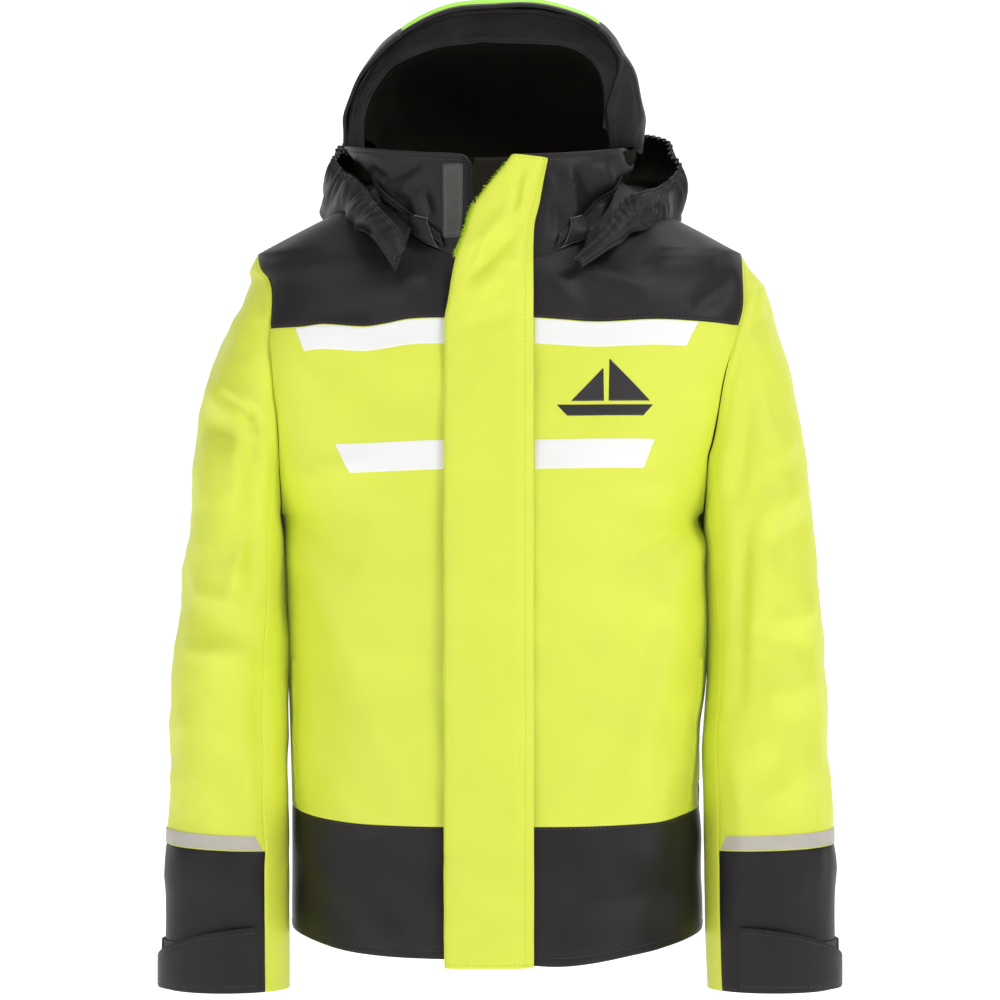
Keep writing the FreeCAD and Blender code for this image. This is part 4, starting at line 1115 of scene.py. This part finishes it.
def make_loop_strip():
    """The strip of loop tape, seen square from the front, so its place on the collar is found step by step."""
    build = Build()
    x, z = crossed(np.linspace(-44.6, -28.6, 26), np.linspace(-44.5, 13.5, 70))
    height, angle = np.zeros_like(x), np.full_like(x, -20.0)
    for _ in range(14):
        here = collar_shape(angle, height)
        height = np.clip(height + (z - here[..., 2]) / 86, 0, 1)
        angle = angle + np.clip((x - here[..., 0]) / 1.9, -8, 8)
    points = collar_shape(angle, height)
    rounded = np.hypot(np.maximum(0, np.abs(x + 36.6) - 5), np.maximum(0, np.abs(z + 15.5) - 26)) / 3
    up = collar_bumps(points) + 1.7 - 0.9 * np.clip(rounded, 0, 1.4) ** 4
    outer, normal = cloth(build, points, COLLAR_HEART, LOOP_DARK, thick=1.5, bumps=up, deep=(0.4, 0.8))
    inner = slice(4, -4)
    for row in ((4, inner), (-5, inner), (inner, 4), (inner, -5)):
        build.stitches(outer[row], normal[row], THREAD_PALE, pitch=1.7, long=1.4, thick=0.3)
    build.finish("collar_loops", "torso", ["collar_loop_strip"], "loop")


def make_collar_trim():
    """The keepers with their bar tacks, the straps that pass under them, and the hanger loop."""
    make_loop_strip()
    build = Build()
    for side in (1, -1):
        def stand(_, height):
            return 5.6 * np.sin(np.pi * ramp(height, 0.03, 0.33)) ** 0.5

        outer, normal = band_on_collar(build, (side * 33.5, side * 44), (0.03, 0.33), CHARCOAL, 0.6, 1.2, stand)
        for k in (0.04, 0.96):
            row = int(k * (outer.shape[1] - 1))
            build.stitches(outer[:, row], normal[:, row], THREAD_GREY, pitch=0.7, long=0.62, thick=0.45)
        build.stitches(outer[1, :], normal[1, :], THREAD_GREY, pitch=1.0, long=0.8, thick=0.22)
    build.finish("keepers", "torso", ["keeper_loops"], "webbing")
    build = Build()
    for side in (1, -1):
        band_on_collar(build, (side * 29, side * 64), (0.06, 0.2), CHARCOAL, 3.4, 1.2, rise=0.42,
                       stitch=[("v0", 2.0), ("v1", 2.0)], thread=THREAD_DARK)
    build.finish("straps", "torso", ["stow_straps"], "charcoal")
    build = Build()
    a, v = crossed(np.linspace(-34, 34, 60), np.linspace(5, 14, 10))
    y = 58.0 - 0.0028 * a * a - 15 * np.cos(np.pi * a / 68.2) ** 0.8
    cloth(build, np.stack([a, y, v], -1), (0, 90, 9), WEBBING, thick=1.2, seams="")
    build.finish("hanger_strap", "torso", ["hanger_loop"], "webbing")


# ================================ Stowage flap ================================
# The flap's bottom fold and its rim: the angle round the neck, then x, y and z, for both sides.
STOW_FOLD = {
    1: [(50, 62, -97, -68), (60, 84, -94, -54), (72, 102, -78, -42), (84, 124, -42, -32), (96, 141, 0, -27),
        (110, 145, 35, -12), (125, 132, 70, 4), (145, 98, 101, 10), (162, 50, 119, 10), (180, 0, 125, 10)],
    -1: [(50, 80, -100, -71), (60, 96, -90, -48), (72, 111, -60, -38), (84, 124, -30, -34), (96, 139, 0, -28),
         (110, 144, 35, -12), (125, 132, 70, 4), (145, 98, 101, 10), (162, 50, 119, 10), (180, 0, 125, 10)],
}
STOW_RIM = {
    1: [(50, 56, -101, -62), (60, 80, -98, -40), (72, 98, -82, -14), (84, 121, -40, -4), (96, 142, 5, 14),
        (110, 142, 35, 34), (125, 130, 66, 48), (145, 101, 99, 52), (162, 54, 119, 50), (180, 0, 126, 48)],
    -1: [(50, 73, -101, -55), (60, 79, -98, -39), (72, 97, -82, -19), (84, 113, -45, 4), (96, 125, -10, 13),
         (110, 133, 24, 26), (125, 127, 62, 43), (145, 101, 99, 51), (162, 54, 119, 50), (180, 0, 126, 48)],
}


STOW_DEPTH = 70.0


def stow_point(side, turn, height):
    """Height runs from the foot seam (0) under the flap to its bottom fold (0.4), then up to the rim (1)."""
    foot = neck(side * turn)
    out = foot * np.array([1.0, 1.0, 0.0])
    foot = foot + unit(out) * 7.0 + np.array([0.0, 0.0, 5.0])
    across = np.array([side, 1, 1])
    fold, rim = [np.stack([curve(table[side], turn, k) for k in (1, 2, 3)], -1) * across
                 for table in (STOW_FOLD, STOW_RIM)]
    low, high = ramp(height, 0, 0.4)[..., None], ramp(height, 0.4, 1.0)[..., None]
    wall = unit(out) * 5.0 * np.sin(np.pi * high)
    return foot + (fold - foot) * low + (rim - fold) * high + wall


def stow_bumps(side, run, turn, height):
    """Gathers by the elastic of the rim, a shirred stretch on the left, and soft unevenness."""
    high = ramp(height, 0.55, 1.0)
    gather = np.sin(run / 9.0 * 2 * np.pi + 2.2 * np.sin(run / 37)) * 1.7 * high**2
    gather += np.sin(run / 4.3 * 2 * np.pi + 1.7 * np.sin(run / 21)) * 0.5 * high**3
    shirred = bell((turn - 78) / 13) * ramp(height, 0.35, 0.55)
    gather += np.sin(run / 4.6 * 2 * np.pi + 0.9 * np.sin(height * 14)) * 1.3 * shirred * (side > 0)
    place = np.stack([run + 0 * height, height * STOW_DEPTH], -1)
    soft = ripple(place, 42.0, 1.8, 50 + side) * np.clip(height * 4, 0, 1)
    fold = -0.9 * bell((height - 0.5) * STOW_DEPTH / 1.2) + 1.1 * bell((height - 0.42) * STOW_DEPTH / 3.0)
    return (gather + soft) * ramp(turn, 54, 76) + fold


def make_stow():
    build, seams = Build(), Build()
    for side in (1, -1):
        turn, height = crossed(50 + 130 * spread(330.0, 1.7), spread(STOW_DEPTH, 2.0))
        points = stow_point(side, turn, height)
        bumps = stow_bumps(side, lengths(points, 0)[:, -1:], turn, height)
        outer, normal = cloth(build, points, (0, 8, 8), CHARCOAL, thick=1.4, bumps=bumps, seams="v0",
                              stitch=[("v1", 3.0), ("v0", 34.0), ("u0", 3.0)], thread=THREAD_DARK,
                              deep=(0.5, 1.5), thread_in=seams)
        seams.tube(outer[:, -1] - normal[:, -1] * 0.7, 1.3, CHARCOAL)
    made = build.finish("stow_pouch", "torso", ["stow_flap"], "charcoal")
    edging = seams.finish("stow_edging", "torso", [], "charcoal")


# ================================ Hood ================================
BRIM_CURL = [(36, 17), (43, 18), (56, 24), (66, 26), (80, 17), (95, 8), (108, 1.5), (120, 0)]


def hood_shape(across, lean, inner=False):
    """The shell, or the fleece inside it. The brim curls in on the left, and the foot goes into the collar."""
    across, lean = np.broadcast_arrays(np.asarray(across, float), np.asarray(lean, float))
    turn = (1 + np.tanh(np.sin(np.radians(across)) * 3)) / 2
    front = ramp(lean, 150, 90)
    wide = HOOD_WIDTH + front * (4.5 - 12.0 * turn)
    square = curve(HOOD_SQUARE, lean) + front * (-0.35 + 0.65 * turn)
    radius = curve(HOOD_RADII, lean)
    if inner:
        deep = ramp(lean, 79, 89)
        wide = wide - HOOD_WIDTH + curve(LINING_WIDTHS, lean) + deep * front * (8 - 11 * turn)
        square = square + deep * front * (0.5 + 0.6 * turn)
        radius = curve(LINING_RADII, lean) - 6.0 * deep * front
    made = arch(across, lean, radius, wide, square)
    curl = bell((lean - 77) / 8.0) * curve(BRIM_CURL, made[..., 2])
    made[..., 0] -= curl * np.clip(np.sin(np.radians(across)) * 3 - 1.4, 0, 1)
    tuck = ramp(made[..., 2], 64, 38) ** 1.4 * ramp(made[..., 1], 50, 10)
    made[..., 0] -= 9.0 * tuck * (made[..., 0] > 0)
    foot = ramp(made[..., 2], 49, 40)
    made[..., 2] -= (14.0 if inner else 11.0) * foot
    over = -2.0 if inner else 1.4
    made[..., 0] += np.sign(made[..., 0]) * over * foot
    made[..., 1] += over * foot * (made[..., 1] > 40)
    return made


def facing_shape(across, share):
    """The facing runs from just inside the brim (0) to the seam of the fleece (1), slightly bellied."""
    rim, seam = hood_shape(across, 78.6), hood_shape(across, 90.3, True)
    middle = np.array([0.0, 8.0, 55.0])
    rim = rim + unit(middle - rim) * 1.8
    share = np.asarray(share)[..., None]
    made = rim + (seam - rim) * share + unit(rim - middle) * 3.0 * np.sin(np.pi * share)
    made[..., 2] -= 10.0 * ramp(made[..., 2], 60, 38)
    return made


HOOD_FOLDS = [
    (-110, 60, -74, 110, 8, 1.4), (100, 60, 88, 120, 7, -2.2), (108, 44, 104, 110, 6, 1.8),
    (-60, 120, 20, 140, 9, 1.0), (-118, 42, -104, 78, 7, 1.6),
]
HOOD_SIDE_FOLDS = [(20, 130, 90, 80, 14, 2.4), (10, 60, 80, 50, 12, 2.4), (40, 110, 100, 50, 12, -2.0)]
HOOD_LINING_FOLDS = [
    (-58, 90, -52, 40, 7, -2.0), (-30, 100, -26, 40, 8, 1.6), (2, 96, 0, 40, 9, -1.6),
    (30, 100, 28, 42, 8, 1.5), (60, 92, 56, 40, 7, -2.0), (-78, 84, -74, 40, 6, 1.4),
]


def hood_bumps(points):
    place, beside = points[..., [0, 2]], points[..., [1, 2]]
    wavy = ripple(beside, 70.0, 1.0, 61) + ripple(place, 50.0, 0.8, 62)
    return (folds(place, HOOD_FOLDS) + folds(beside, HOOD_SIDE_FOLDS) + wavy) * ramp(points[..., 2], 38, 58)


def lining_bumps(points):
    """The fleece hangs in soft upright folds."""
    place = points[..., [0, 2]]
    return folds(place, HOOD_LINING_FOLDS) + ripple(place, 44.0, 0.7, 64)


def facing_bumps(points):
    place = points[..., [0, 2]]
    return ripple(place, 40.0, 0.7, 66) + ripple(place, 16.0, 0.2, 67)


HOOD_HEART = (0.0, 20.0, 62.0)


def hood_piece(name, span, material, nodes, slot, surface=hood_shape, low=78.0, high=178.6, length=None,
               bumps=hood_bumps, thick=1.4, seams="u0 u1", binding=False, **style):
    """A part of the hood between two angles across the head and two leans (or shares of the facing)."""
    build = Build()
    us = span[0] + (span[1] - span[0]) * spread((span[1] - span[0]) * 2.3, 3.0)
    leans = low + (high - low) * spread((length or high - low) * 1.9, 3.0)
    points = grid(surface, us, leans)
    outer, normal = cloth(build, points, HOOD_HEART, material, thick=thick, bumps=bumps(points), seams=seams,
                          thread=THREAD_DARK, **style)
    if binding:
        build.tube(outer[:, 0] - normal[:, 0] * 1.0, 1.8, CHARCOAL)
    blend = ("torso", "hood", (0.0, 0.110, 0.040), (0.0, 0.110, 0.110))
    build.finish(name, replaces=nodes, slot=slot, blend=blend)


def make_hood():
    edge, side_end = 38.0, 89.6
    hood_piece("hood_left", (edge, side_end), CHARCOAL, ["hood_side_left"], "charcoal",
               stitch=[("v0", 4.0), ("u0", 2.0)], binding=True)
    hood_piece("hood_right", (-side_end, -edge), CHARCOAL, ["hood_side_right"], "charcoal",
               stitch=[("v0", 4.0), ("u1", 2.0)], binding=True)
    hood_piece("hood_middle", (-edge, edge), LIME, ["hood_centre"], "lime", low=80.5, lining=FLEECE)
    hood_piece("hood_brim", (-edge, edge), CHARCOAL, [], "charcoal", high=81.5, binding=True, seams="",
               bumps=lambda points: hood_bumps(points) + 0.5)
    hood_piece("hood_face", (-88, 88), CHARCOAL, ["hood_facing"], "charcoal", facing_shape, 0.0, 1.0, length=90,
               seams="v1", bumps=facing_bumps, stitch=[("v1", 2.4), ("v0", 4.0)], thick=1.0)
    hood_piece("hood_inside", (-88, 88), FLEECE, ["hood_lining"], "fleece",
               lambda across, lean: hood_shape(across, lean, inner=True), 90.0, 178.0, seams="v0",
               bumps=lining_bumps, thick=1.0)


# ================================ Pockets ================================
def make_pockets():
    """Two bags of two layers inside the front, and a welt over each opening with bar tacks at its ends."""
    bags, welts = Build(), Build()
    for side in (1, -1):
        surface = front_half(side, zip_side(side))
        for depth in (3.4, 14.0):
            points = settle(grid(surface, np.linspace(0.42, 0.94, 30), np.linspace(-496, -364, 40)))
            cloth(bags, points, TORSO_HEART, INNER, thick=0.8, seams="",
                  bumps=front_bumps(points) - depth + ripple(points[..., [0, 2]], 30.0, 0.3, 70))
        shares = 0.785 + 0.045 * spread(11.0, 2.0, (0.5, 1.0, 1.8))
        points = settle(grid(surface, shares, np.linspace(-487, -373, 60)))
        outer, normal = cloth(welts, points, TORSO_HEART, YELLOW, thick=1.8, bumps=front_bumps(points) + 1.3,
                              deep=(0.8, 1.0), stitch=[("u0", 2.0)], thread=THREAD_YELLOW)
        for row in (3, -4):
            welts.stitches(outer[:, row], normal[:, row], THREAD_YELLOW, pitch=0.9, long=0.8, thick=0.35)
    bags.finish("pocket_linings", "torso", ["pocket_bags"], "mesh")
    welts.finish("welts", "torso", ["pocket_welts"], "yellow")


make_collar()
make_collar_trim()
make_stow()
make_hood()
make_pockets()


# ================================ Backdrop ================================
def make_backdrop():
    """A pale floor that curves up into a wall, in metres. The wall stands behind every camera's place."""
    floor_z, half, wall_y, wall_top, radius = -0.72, 12.0, 8.0, 9.0, 1.6
    turns = np.linspace(0, math.pi / 2, 24)
    bend = [(wall_y - radius + radius * math.sin(t), floor_z + radius - radius * math.cos(t)) for t in turns]
    profile = [(-half, floor_z), *bend, (wall_y, wall_top)]
    verts = [(x, y, z) for x in (-half, half) for y, z in profile]
    count = len(profile)
    faces = [(k, k + 1, k + 1 + count, k + count) for k in range(count - 1)]
    mesh = bpy.data.meshes.new("backdrop")
    mesh.from_pydata(verts, [], faces)
    mesh.shade_smooth()
    paper = new_material("backdrop_paper", (0.93, 0.93, 0.93), 0.9, Emission_Strength=0.60)[0]
    mesh.materials.append(paper)
    made = bpy.data.objects.new("backdrop", mesh)
    bpy.context.scene.collection.objects.link(made)


make_backdrop()
